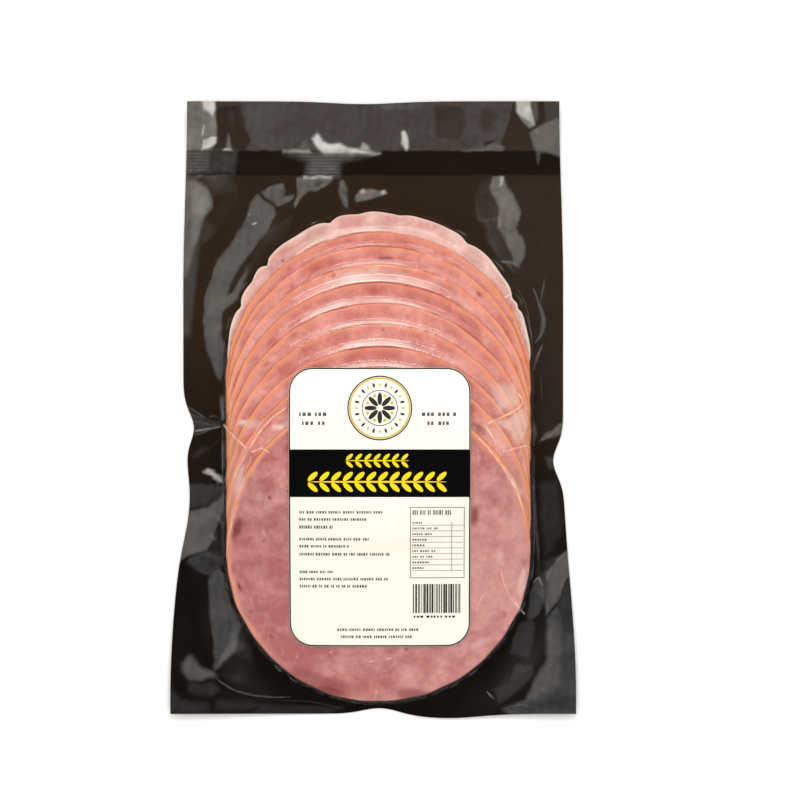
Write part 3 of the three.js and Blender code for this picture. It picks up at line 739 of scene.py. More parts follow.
def add_grid(name: str, columns: int, rows: int) -> tuple[bpy.types.Object, np.ndarray, np.ndarray]:
    """Adds a flat grid over the unit square.

    Args:
        name: the piece's name.
        columns: faces across.
        rows: faces along.

    Returns:
        The piece, and each vertex's share across and along the square.
    """
    bpy.ops.object.select_all(action="DESELECT")
    bpy.ops.mesh.primitive_grid_add(
        x_subdivisions=columns, y_subdivisions=rows, size=1, location=(0.5, 0.5, 0)
    )
    bpy.ops.object.transform_apply(location=True, rotation=False, scale=False)
    piece = bpy.context.object
    piece.name = piece.data.name = name
    places = np.empty(len(piece.data.vertices) * 3)
    piece.data.vertices.foreach_get("co", places)
    return piece, places[0::3], places[1::3]


def put_vertices(piece: bpy.types.Object, x: np.ndarray, y: np.ndarray, z: np.ndarray) -> None:
    """Moves every vertex to its place in millimetres."""
    piece.data.vertices.foreach_set("co", (np.column_stack([x, y, z]) * MM).ravel())
    piece.data.update()


def write_attribute(piece: bpy.types.Object, name: str, values: np.ndarray | float) -> None:
    """Stores a number on every vertex, for the piece's finish to read."""
    layer = piece.data.attributes.new(name, "FLOAT", "POINT")
    layer.data.foreach_set(
        "value", np.broadcast_to(values, len(piece.data.vertices)).astype(np.float32)
    )


def edit(piece: bpy.types.Object) -> None:
    """Opens a piece alone in edit mode with all of it selected."""
    bpy.ops.object.select_all(action="DESELECT")
    piece.select_set(True)
    bpy.context.view_layer.objects.active = piece
    bpy.ops.object.mode_set(mode="EDIT")
    bpy.ops.mesh.select_all(action="SELECT")


def raise_shell(piece: bpy.types.Object, thickness: float) -> np.ndarray:
    """Extrudes a sheet upward into a closed shell.

    Args:
        piece: a sheet at the height of its lower face.
        thickness: how far its upper face rises.

    Returns:
        Which vertices belong to the upper face.
    """
    edit(piece)
    bpy.ops.mesh.extrude_region_move(TRANSFORM_OT_translate={"value": (0, 0, thickness * MM)})
    bpy.ops.object.mode_set(mode="OBJECT")
    raised = np.empty(len(piece.data.vertices), dtype=bool)
    piece.data.vertices.foreach_get("select", raised)
    return raised


def rings(across: np.ndarray, along: np.ndarray) -> tuple[np.ndarray, np.ndarray, np.ndarray]:
    """Reads a square grid as nested square rings.

    Args:
        across: shares across the grid.
        along: shares along the grid.

    Returns:
        Each vertex's ring from 0 at the centre to 1 at the border, and the shares across and along of
        the border point that it looks out to.
    """
    u, v = 2 * across - 1, 2 * along - 1
    ring = np.maximum(np.abs(u), np.abs(v))
    safe = np.where(ring > 0, ring, 1)
    return ring, (u / safe + 1) / 2, (v / safe + 1) / 2


def disc_places(across: np.ndarray, along: np.ndarray) -> tuple[np.ndarray, np.ndarray]:
    """Maps the unit square onto the unit disc, square ring by round ring."""
    ring, edge_across, edge_along = rings(across, along)
    u, v = 2 * edge_across - 1, 2 * edge_along - 1
    u = np.where(ring > 0, u, 1)  # the centre looks out to the right, as it has to look somewhere
    sideways = np.abs(u) >= np.abs(v)
    quarter = math.pi / 4
    angle = np.where(
        sideways,
        quarter * v / np.where(sideways, u, 1) + np.where(u < 0, math.pi, 0),
        math.pi / 2 - quarter * u / np.where(sideways, 1, v) + np.where(v < 0, math.pi, 0),
    )
    return ring * np.cos(angle), ring * np.sin(angle)


def join_pieces(name: str, parts: list[bpy.types.Object]) -> bpy.types.Object:
    """Joins parts of one finish into one piece."""
    bpy.ops.object.select_all(action="DESELECT")
    for part in parts:
        part.select_set(True)
    bpy.context.view_layer.objects.active = parts[0]
    if len(parts) > 1:
        bpy.ops.object.join()
    joined = bpy.context.view_layer.objects.active
    joined.name = joined.data.name = name
    return joined


def hand_over(piece: bpy.types.Object, material: bpy.types.Material, slot: Slot, *nodes: str) -> None:
    """Dresses a piece and sets it into the frame.

    Args:
        piece: a finished mesh.
        material: its finish.
        slot: the record's material slot that the finish belongs to; not used.
        nodes: the solids that the piece stands for.
    """
    bpy.ops.object.select_all(action="DESELECT")
    piece.select_set(True)
    bpy.context.view_layer.objects.active = piece
    bpy.ops.object.shade_smooth_by_angle(angle=math.radians(50))
    piece.data.materials.append(material)
    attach(piece, "root")
    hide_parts(*nodes)
    log.info("%s: %d faces, %s", piece.name, len(piece.data.polygons), material.name)


# ---- Finishes ----


def paint(code: str) -> tuple[float, float, float, float]:
    """Turns an sRGB hex colour into the linear colour that a node takes."""
    shares = [int(code[place : place + 2], 16) / 255 for place in (1, 3, 5)]
    linear = [
        share / 12.92 if share <= 0.04045 else ((share + 0.055) / 1.055) ** 2.4 for share in shares
    ]
    return (*linear, 1.0)


def add_node(
    tree: bpy.types.NodeTree, kind: str, inputs: dict | None = None, stops: tuple = (), **settings
) -> bpy.types.Node:
    """Adds one node to a material.

    Args:
        tree: the material's node tree.
        kind: the node's type.
        inputs: a value or another node's output for each input, by name or number.
        stops: places and hex colours along a colour ramp.
        settings: the node's own settings.

    Returns:
        The node.
    """
    node = tree.nodes.new(kind)
    for name, value in settings.items():
        setattr(node, name, value)
    for number, (place, code) in enumerate(stops):
        elements = node.color_ramp.elements
        stop = elements[number] if number < len(elements) else elements.new(place)
        stop.position = place
        stop.color = paint(code)
    for key, value in (inputs or {}).items():
        if isinstance(value, bpy.types.NodeSocket):
            tree.links.new(value, node.inputs[key])
        else:
            node.inputs[key].default_value = value
    return node


def vertex_value(tree: bpy.types.NodeTree, name: str) -> bpy.types.NodeSocket:
    """Reads a number that write_attribute stored."""
    return add_node(tree, "ShaderNodeAttribute", attribute_name=name).outputs["Fac"]


def noise(
    tree: bpy.types.NodeTree,
    place: bpy.types.NodeSocket,
    scale: float,
    detail: float,
    roughness: float = 0.5,
    seed: bpy.types.NodeSocket | None = None,
) -> bpy.types.NodeSocket:
    """Adds soft noise.

    Args:
        tree: the material's node tree.
        place: where on the piece the noise is read.
        scale: about how many of its swells fit into a metre.
        detail: how many finer layers lie on them.
        roughness: how strong the finer layers are.
        seed: a number on the piece that picks the pattern, or None for the plain one.

    Returns:
        The noise's strength, from 0 to 1.
    """
    inputs = {"Vector": place, "Scale": scale, "Detail": detail, "Roughness": roughness}
    if seed is None:
        return add_node(tree, "ShaderNodeTexNoise", inputs).outputs["Fac"]
    inputs["W"] = seed
    return add_node(tree, "ShaderNodeTexNoise", inputs, noise_dimensions="4D").outputs["Fac"]


def calculate(
    tree: bpy.types.NodeTree, operation: str, *values: bpy.types.NodeSocket | float
) -> bpy.types.NodeSocket:
    """Adds one step of arithmetic on numbers or other nodes' outputs."""
    inputs = dict(enumerate(values))
    node = add_node(tree, "ShaderNodeMath", inputs, operation=operation)
    return node.outputs[0]


def mapped(
    tree: bpy.types.NodeTree,
    value: bpy.types.NodeSocket,
    low: float = 0.0,
    high: float = 1.0,
    new_low: bpy.types.NodeSocket | float = 0.0,
    new_high: float = 1.0,
    kind: str = "LINEAR",
) -> bpy.types.NodeSocket:
    """Carries a value over from one range to another, and holds it at the ends.

    Args:
        tree: the material's node tree.
        value: the value.
        low: start of the first range, which may lie above its end.
        high: end of the first range.
        new_low: what low becomes.
        new_high: what high becomes.
        kind: how the values between them are eased.

    Returns:
        The value in its new range.
    """
    inputs = {0: value, 1: low, 2: high, 3: new_low, 4: new_high}
    node = add_node(tree, "ShaderNodeMapRange", inputs, interpolation_type=kind)
    return node.outputs[0]


def blend(
    tree: bpy.types.NodeTree,
    share: bpy.types.NodeSocket | float,
    under: bpy.types.NodeSocket | tuple[float, ...],
    over: bpy.types.NodeSocket | tuple[float, ...],
    kind: str = "MIX",
) -> bpy.types.NodeSocket:
    """Mixes two colours.

    Args:
        tree: the material's node tree.
        share: how much of the upper colour shows.
        under: the lower colour.
        over: the upper colour.
        kind: how the upper one is laid on.

    Returns:
        The mixed colour.
    """
    inputs = {0: share, 6: under, 7: over}
    node = add_node(tree, "ShaderNodeMix", inputs, data_type="RGBA", blend_type=kind)
    return node.outputs[2]


class Finish:
    """A material made of nodes."""

    name: str

    def surface(self, tree: bpy.types.NodeTree) -> bpy.types.NodeSocket:
        """Adds the finish's nodes and returns the shader that dresses the surface."""
        raise NotImplementedError

    def make(self) -> bpy.types.Material:
        """Makes the material."""
        material = bpy.data.materials.new(self.name)
        material.use_nodes = True
        tree = material.node_tree
        tree.nodes.clear()
        add_node(tree, "ShaderNodeOutputMaterial", {"Surface": self.surface(tree)})
        return material


@dataclass(frozen=True)
class ClearFilm(Finish):
    """Clear vacuum film: it mirrors a little, carries painted reflections beside the meat, and looks milky
    where it spans air over meat, partly as painted highlight.
    """

    name: str = "clear_nylon_film"
    ior: float = 1.5
    faces: float = 3.0  # mirroring faces of dry film and the web under it, where wet film has one
    roughness: float = 0.1
    # painted highlight over the meat, partly the milk of film over air
    haze_and_highlight: str = "#f8dfd2"  # over the meat
    # painted reflections beside it, from faint to strong
    reflection_veils: tuple[tuple[float, str], ...] = ((0.03, "#c9ccd0"), (0.1, "#cbc6c0"), (0.4, "#efece6"))
    haze_and_highlight_strength: float = 0.42
    crinkle_mm: float = 2.2

    def milk_and_highlight(self, tree: bpy.types.NodeTree) -> bpy.types.NodeSocket:
        """How milky the film is over the meat, partly as painted highlight: in patches before each slice's
        edge, and in a few fields.
        """
        place = add_node(tree, "ShaderNodeTexCoord").outputs["Object"]
        stair = vertex_value(tree, "stair")
        span = vertex_value(tree, "span")
        haze_and_highlight = vertex_value(tree, "haze_and_highlight")
        over = vertex_value(tree, "over_meat")
        step = calculate(tree, "FRACT", stair)
        to_edge = calculate(tree, "SUBTRACT", 1.0, step)
        ratio = calculate(tree, "DIVIDE", to_edge, span)
        band = mapped(tree, ratio, 0.05, 0.85, 1.0, 0.0, kind="SMOOTHSTEP")
        milk_and_reflection = vertex_value(tree, "milk_and_reflection")
        bands = calculate(tree, "MULTIPLY", band, milk_and_reflection)
        patch = noise(tree, place, 70.0, 3.0)
        uneven = mapped(tree, patch, 0.38, 0.62, 0.2, self.haze_and_highlight_strength * 1.4)
        patchy = calculate(tree, "MULTIPLY", bands, uneven)
        milky_and_highlit = calculate(tree, "MAXIMUM", patchy, haze_and_highlight)
        return calculate(tree, "MULTIPLY", milky_and_highlit, over)

    def surface(self, tree: bpy.types.NodeTree) -> bpy.types.NodeSocket:
        """Clear film under a mirror whose share grows at grazing angles."""
        place = add_node(tree, "ShaderNodeTexCoord").outputs["Object"]
        crinkle = noise(tree, place, 1 / (self.crinkle_mm * MM), 3.0)
        bump = add_node(
            tree, "ShaderNodeBump", {"Height": crinkle, "Strength": 0.25, "Distance": 0.1 * MM}
        )
        clear = add_node(tree, "ShaderNodeBsdfTransparent", {"Color": paint("#fdfdfc")})
        white = add_node(
            tree, "ShaderNodeBsdfDiffuse", {"Color": paint(self.haze_and_highlight), "Normal": bump.outputs[0]}
        )
        hazed_and_highlit = add_node(
            tree,
            "ShaderNodeMixShader",
            {0: self.milk_and_highlight(tree), 1: clear.outputs[0], 2: white.outputs[0]},
        )
        # grey and white painted reflections on the film beside the meat
        reflection_veil = vertex_value(tree, "reflection_veil")
        milk_and_reflection = add_node(tree, "ShaderNodeValToRGB", {0: reflection_veil}, self.reflection_veils)
        reflection_veiling = add_node(
            tree, "ShaderNodeBsdfDiffuse", {"Color": milk_and_reflection.outputs[0], "Normal": bump.outputs[0]}
        )
        body = add_node(
            tree, "ShaderNodeMixShader", {0: reflection_veil, 1: hazed_and_highlit.outputs[0], 2: reflection_veiling.outputs[0]}
        )
        mirror = add_node(
            tree, "ShaderNodeBsdfGlossy", {"Roughness": self.roughness, "Normal": bump.outputs[0]}
        )
        share = add_node(tree, "ShaderNodeFresnel", {"IOR": self.ior, "Normal": bump.outputs[0]})
        passed = calculate(tree, "SUBTRACT", 1.0, share.outputs[0])
        wet = vertex_value(tree, "wet")
        faces = mapped(tree, wet, 0.0, 1.0, self.faces, 1.0)
        through = calculate(tree, "POWER", passed, faces)
        mirrored = calculate(tree, "SUBTRACT", 1.0, through)
        inner = add_node(tree, "ShaderNodeNewGeometry").outputs["Backfacing"]
        outer = calculate(tree, "SUBTRACT", 1.0, inner)
        shown = calculate(tree, "MULTIPLY", mirrored, outer)
        return add_node(
            tree, "ShaderNodeMixShader", {0: shown, 1: body.outputs[0], 2: mirror.outputs[0]}
        ).outputs[0]


@dataclass(frozen=True)
class CreaseHighlightFilm(Finish):
    """The same film where it is pinched into a welt, with a painted highlight: clouded, clearer towards the
    welt's edges.
    """

    name: str = "crease_painted_highlight_film"
    over_meat: str = "#fbcab2"
    beside_meat: str = "#d6d1ca"
    strength: float = 1.15

    def surface(self, tree: bpy.types.NodeTree) -> bpy.types.NodeSocket:
        """A sheet of painted highlight that mixes with what lies under it."""
        milk_and_reflection = vertex_value(tree, "milk_and_reflection")
        middle = vertex_value(tree, "middle")
        over = vertex_value(tree, "over_meat")
        strong = calculate(tree, "MULTIPLY", milk_and_reflection, self.strength)
        soft = calculate(tree, "MULTIPLY", strong, middle)
        inner = add_node(tree, "ShaderNodeNewGeometry").outputs["Backfacing"]
        outer = calculate(tree, "SUBTRACT", 1.0, inner)
        share = calculate(tree, "MULTIPLY", soft, outer)
        tint = blend(tree, over, paint(self.beside_meat), paint(self.over_meat))
        clear = add_node(tree, "ShaderNodeBsdfTransparent")
        painted_highlight = add_node(tree, "ShaderNodeBsdfDiffuse", {"Color": tint})
        return add_node(
            tree, "ShaderNodeMixShader", {0: share, 1: clear.outputs[0], 2: painted_highlight.outputs[0]}
        ).outputs[0]


@dataclass(frozen=True)
class BlackFilm(Finish):
    """Black polyethylene, matt where the clear film lies on it, with painted light that makes it lighter and
    browner towards the header.
    """

    name: str = "black_polyethylene_film"
    # painted light: the header end is lighter and browner, the hem end plain black
    header: str = "#32251b"
    hem: str = "#140e0a"
    seal: str = "#1d130b"  # glassier and deeper where the seal has melted it
    seal_y: tuple[float, float] = (95.0, 105.0)
    header_y: float = 60.0
    hem_y: float = -70.0

    def surface(self, tree: bpy.types.NodeTree) -> bpy.types.NodeSocket:
        """A matt plastic whose colour shifts slowly along the pack, with painted light towards the header."""
        place = add_node(tree, "ShaderNodeTexCoord").outputs["Object"]
        split = add_node(tree, "ShaderNodeSeparateXYZ", {0: place})
        # painted light: lighter and browner towards the header, shifted by a slow random cloud
        share = mapped(tree, split.outputs[1], self.hem_y * MM, self.header_y * MM)
        cloud = noise(tree, place, 22.0, 3.0)
        shifted = calculate(tree, "MULTIPLY_ADD", cloud, 0.5, share)
        tone = mapped(tree, shifted, 0.2, 1.2, kind="SMOOTHSTEP")
        pigment_and_painted_light = blend(tree, tone, paint(self.hem), paint(self.header))
        low, high = self.seal_y
        middle = calculate(tree, "SUBTRACT", split.outputs[1], (low + high) / 2 * MM)
        away = calculate(tree, "ABSOLUTE", middle)
        half = (high - low) / 2 * MM
        melted = mapped(tree, away, half, half - 0.3 * MM)
        sealed = blend(tree, melted, pigment_and_painted_light, paint(self.seal))
        return add_node(
            tree,
            "ShaderNodeBsdfPrincipled",
            {"Base Color": sealed, "Roughness": 0.7, "Specular IOR Level": 0.0},
        ).outputs[0]


@dataclass(frozen=True)
class Ham(Finish):
    """Smoked ham: mottled pink muscle with a warm rim, pale flecks of fat and small dark specks, with some
    painted light and shade.
    """

    name: str = "smoked_ham"
    front: tuple[str, str] = ("#b46465", "#d89896")  # two pinks of the front slice's face
    crescent: tuple[str, str] = ("#c66b63", "#e69e94")  # two pinks of the slices behind it
    pale: tuple[str, str] = ("#d2958e", "#ecc3bc")  # the thin lowest slice
    cream: str = "#e9d6ca"  # its ragged fat edge
    fleck: str = "#f0c4b8"
    speck: str = "#7c2b2a"
    # dark muscle, and the colour of the painted shade
    dark_muscle_and_shade: str = "#7a1216"
    patch_mm: float = 24.0
    fibre_mm: float = 7.0
    grain_mm: float = 2.0

    def surface(self, tree: bpy.types.NodeTree) -> bpy.types.NodeSocket:
        """Meat with a little light passing through it."""
        place = add_node(tree, "ShaderNodeTexCoord").outputs["Object"]
        seed = vertex_value(tree, "seed")
        warmth = vertex_value(tree, "warmth")
        lowest = vertex_value(tree, "lowest")
        rim = vertex_value(tree, "rim")

        patch = noise(tree, place, 1 / (self.patch_mm * MM), 4.0, roughness=0.6, seed=seed)
        fine = noise(tree, place, 1 / (self.fibre_mm * MM), 3.0, seed=seed)
        both = calculate(tree, "ADD", patch, fine)
        shade = vertex_value(tree, "shade")
        # painted light and shade on the front slice, from the shade attribute
        sloped = calculate(tree, "ADD", both, shade)
        tone = mapped(tree, sloped, 0.80, 1.22)
        pinks = [
            blend(tree, tone, paint(dark), paint(light))
            for dark, light in (self.front, self.crescent, self.pale)
        ]
        upper = blend(tree, warmth, pinks[0], pinks[1])
        meat = blend(tree, lowest, upper, pinks[2])

        grain = noise(tree, place, 1 / (self.grain_mm * MM), 3.0, roughness=0.65, seed=seed)
        grained = mapped(tree, grain, 0.3, 0.7, 0.86, 1.10)
        mottled = blend(tree, 1.0, meat, grained, kind="MULTIPLY")

        # darker muscle in a few soft patches, and in the listed ones, some of which are painted shade
        deep = noise(tree, place, 62.0, 1.0, seed=seed)
        deep_share = mapped(tree, deep, 0.60, 0.76, 0.0, 0.26)
        muscle_and_shade = vertex_value(tree, "muscle_and_shade")
        dark_share = calculate(tree, "MAXIMUM", deep_share, muscle_and_shade)
        muscled_and_shaded = blend(tree, dark_share, mottled, paint(self.dark_muscle_and_shade))

        # pale flecks of fat and connective tissue, drawn out at a slant
        turned = add_node(
            tree, "ShaderNodeMapping", {0: place, 2: (0.0, 0.0, 0.9), 3: (420.0, 210.0, 420.0)}
        )
        fleck = noise(tree, turned.outputs[0], 1.0, 2.0, seed=seed)
        fleck_share = mapped(tree, fleck, 0.63, 0.78, 0.0, 0.35)
        flecked = blend(tree, fleck_share, muscled_and_shaded, paint(self.fleck))

        # small dark specks
        cell = add_node(
            tree,
            "ShaderNodeTexVoronoi",
            {"Vector": place, "W": seed, "Scale": 140.0},
            voronoi_dimensions="4D",
        )
        speck_share = mapped(tree, cell.outputs["Distance"], 0.17, 0.07, 0.0, 0.7)
        specked = blend(tree, speck_share, flecked, paint(self.speck))

        # the smoked rim: a dark line at the cut edge, partly smoked crust and partly painted contact shadow,
        # then tan orange that fades into pink
        waver = noise(tree, place, 90.0, 2.0, seed=seed)
        widened = mapped(tree, waver, 0.3, 0.7, 0.55, 1.7)
        depth = calculate(tree, "DIVIDE", rim, widened)
        band = add_node(
            tree,
            "ShaderNodeValToRGB",
            {0: calculate(tree, "MULTIPLY", depth, 0.2)},
            (
                (0.0, "#a9583a"),
                (0.03, "#d67d4e"),
                (0.09, "#ee9a68"),
                (0.20, "#ea9b7c"),
                (0.40, "#e39a8a"),
            ),
        )
        reach = mapped(tree, depth, 0.6, 2.9, 1.0, 0.0, kind="SMOOTHSTEP")
        smoke = vertex_value(tree, "smoke")
        rim_share = calculate(tree, "MULTIPLY", reach, smoke)
        cream = blend(tree, lowest, band.outputs[0], paint(self.cream))
        colour = blend(tree, rim_share, specked, cream)
        bump = add_node(
            tree, "ShaderNodeBump", {"Height": grain, "Strength": 0.35, "Distance": 0.25 * MM}
        )
        return add_node(
            tree,
            "ShaderNodeBsdfPrincipled",
            {
                "Base Color": colour,
                "Roughness": 0.5,
                "Specular IOR Level": 0.12,
                "Subsurface Weight": 0.12,
                "Subsurface Radius": (1.0, 0.4, 0.3),
                "Subsurface Scale": 1.5 * MM,
                "Normal": bump.outputs[0],
            },
        ).outputs[0]


@dataclass(frozen=True)
class LabelStock(Finish):
    """Coated cream sticker paper: satin, with a faint fibre under the coat."""

    name: str = "coated_cream_paper"
    colour: str = "#f7f3e5"
    fibre_mm: float = 0.9

    def surface(self, tree: bpy.types.NodeTree) -> bpy.types.NodeSocket:
        """A satin sheet."""
        place = add_node(tree, "ShaderNodeTexCoord").outputs["Object"]
        fibre = noise(tree, place, 1 / (self.fibre_mm * MM), 2.0)
        shade = mapped(tree, fibre, 0.3, 0.7, 0.985, 1.0)
        tinted = blend(tree, 1.0, paint(self.colour), shade, kind="MULTIPLY")
        bump = add_node(
            tree, "ShaderNodeBump", {"Height": fibre, "Strength": 0.15, "Distance": 0.05 * MM}
        )
        return add_node(
            tree,
            "ShaderNodeBsdfPrincipled",
            {"Base Color": tinted, "Roughness": 0.45, "Normal": bump.outputs[0]},
        ).outputs[0]


@dataclass(frozen=True)
class Ink(Finish):
    """Flexographic ink on the sticker: flat colour, a little uneven where the plate pressed less."""

    name: str
    colour: str
    roughness: float = 0.5
    unevenness: float = 0.06

    def surface(self, tree: bpy.types.NodeTree) -> bpy.types.NodeSocket:
        """A printed solid."""
        place = add_node(tree, "ShaderNodeTexCoord").outputs["Object"]
        press = noise(tree, place, 900.0, 2.0)
        shade = mapped(tree, press, 0.3, 0.7, 1 - self.unevenness, 1.0)
        tinted = blend(tree, 1.0, paint(self.colour), shade, kind="MULTIPLY")
        return add_node(
            tree,
            "ShaderNodeBsdfPrincipled",
            {"Base Color": tinted, "Roughness": self.roughness, "Specular IOR Level": 0.04},
        ).outputs[0]


# ---- Pieces ----


@dataclass
class BackWeb:
    """The black film under the pack: one sheet, from the hem to the header's open edge."""

    form: Form
    columns: int = 150
    rows: int = 230

    def build(self) -> None:
        """Models the sheet and dresses it."""
        piece, across, along = add_grid("back_web", self.columns, self.rows)
        x, y = self.form.outline.place(across, along)
        put_vertices(piece, x, y, self.form.webs_underside(x, y))
        raise_shell(piece, self.form.web_thickness)
        hand_over(piece, BlackFilm().make(), Slot.BLACK_FILM, "back_film")


@dataclass
class FrontFilm:
    """The clear film: a chamber drawn over the meat, and the header above the top seal."""

    form: Form
    divisions: int = 222
    rings_over_meat: int = 76
    header_columns: int = 300
    header_rows: int = 90
    crease_lift: tuple[float, float] = (0.16, 0.5)  # clear of the film's coarser grid, and more over meat
    crease_thickness: float = 0.04
    # where the film spans down from each slice's edge, milky partly for the air it spans and partly as
    # painted highlight: how milky, where that is centred, how far it reaches along the edge, and what share of
    # the span it takes
    milk_and_reflection: tuple[tuple[float, float, float, float], ...] = (
        (1.0, -11, 19, 1.0),
        (0.7, -6, 11, 0.9),
        (0.4, 0, 16, 1.0),
        (1.0, 0, 22, 1.4),
        (1.0, -5, 26, 0.9),
        (0.9, 3, 28, 0.9),
        (1.0, 1, 19, 0.95),
        (0.7, 0, 26, 0.8),
        (0.7, 0, 40, 0.8),
    )

    def chamber_places(self, across: np.ndarray, along: np.ndarray) -> tuple[np.ndarray, np.ndarray]:
        """Lays the grid's rings round the stack, one of them right on its outline.

        Args:
            across: shares across the grid.
            along: shares along the grid.

        Returns:
            x and y of each vertex.
        """
        form, stack = self.form, self.form.stack
        ring, edge_across, edge_along = rings(across, along)
        edge_x, edge_y = form.outline.place(edge_across, edge_along, high=form.seal_low)
        spine_y = np.clip(edge_y, stack.centres[-1], stack.centres[0])
        reach = np.hypot(edge_x - stack.x, edge_y - spine_y)
        rim_x = stack.x + (edge_x - stack.x) * stack.radius / reach
        rim_y = spine_y + (edge_y - spine_y) * stack.radius / reach
        middle_y = (stack.centres[0] + stack.centres[-1]) / 2
        border = self.rings_over_meat * 2 / self.divisions
        within = 1 - (1 - np.clip(ring / border, 0, 1)) ** 1.4
        beyond = np.clip((ring - border) / (1 - border), 0, 1) ** 1.25
        x = np.where(
            ring <= border, stack.x + (rim_x - stack.x) * within, rim_x + (edge_x - rim_x) * beyond
        )
        y = np.where(
            ring <= border, middle_y + (rim_y - middle_y) * within, rim_y + (edge_y - rim_y) * beyond
        )
        return x, y

    def build(self) -> None:
        """Models both lengths of film and dresses them."""
        form, stack = self.form, self.form.stack
        finish = ClearFilm().make()
        chamber, across, along = add_grid("front_film", self.divisions, self.divisions)
        header, over, up = add_grid("header_film", self.header_columns, self.header_rows)
        chamber_place = self.chamber_places(across, along)
        header_place = form.outline.place(over, up, low=form.seal_low)
        for piece, (x, y) in ((chamber, chamber_place), (header, header_place)):
            put_vertices(piece, x, y, form.film_underside(x, y))
            outside = stack.outside(x, y)
            # a hair above a whole number on the front slice, which no film spans down to
            write_attribute(piece, "stair", np.clip(stack.begun(x, y), 0, stack.last) + 0.002)
            step = np.clip(np.floor(stack.begun(x, y)), 0, stack.last - 1).astype(int)
            # painted highlights where the film spans down from each slice's edge, partly milky film over air
            strength, middle, reach, width = np.array(self.milk_and_reflection)[step].T
            fade = 1 - 0.9 * smooth_step(0.45, 1.2, np.abs(x - middle) / reach)
            write_attribute(piece, "span", form.bridge_span(x, y) * width * (0.5 + 0.5 * fade))
            write_attribute(piece, "milk_and_reflection", strength * fade)
            write_attribute(piece, "haze_and_highlight", form.haze_and_highlight(x, y))
            # painted reflections on the film beside the meat
            write_attribute(piece, "reflection_veil", form.reflection_veil(x, y))
            write_attribute(piece, "over_meat", smooth_step(-0.3, 0.6, -outside))
            write_attribute(piece, "wet", smooth_step(-2.6, 0.0, -outside))
            raise_shell(piece, form.film_thickness)
            hand_over(piece, finish, Slot.CLEAR_FILM, "sealed_ham")
        self.creases()

    def creases(self) -> None:
        """Models the welts as strips of painted highlight that lie on the film."""
        form, parts = self.form, []
        for crease in CREASES:
            bends = np.array(crease.path)[:, :2]
            length = np.hypot(*np.diff(bends, axis=0).T).sum()
            part, across, along = add_grid("crease", 4, math.ceil(length / 0.5) + 2)
            x, y = crease.strip(across, along)
            over_meat = smooth_step(-0.3, 0.6, -form.stack.outside(x, y))
            lift = self.crease_lift[0] + (self.crease_lift[1] - self.crease_lift[0]) * over_meat
            put_vertices(part, x, y, form.film_underside(x, y) + form.film_thickness + lift)
            ends = np.minimum(along, 1 - along) * length
            write_attribute(part, "milk_and_reflection", crease.milk_and_reflection * (1 + 2.4 * form.cloud.at(x, y)))
            from_side = 0.5 - np.abs(across - 0.5)
            write_attribute(part, "middle", smooth_step(0, 0.45, from_side) * smooth_step(0, 0.6, ends))
            write_attribute(part, "over_meat", over_meat)
            parts.append(part)
        piece = join_pieces("film_crease_highlights", parts)
        raise_shell(piece, self.crease_thickness)
        hand_over(piece, CreaseHighlightFilm().make(), Slot.CLEAR_FILM, "sealed_ham")


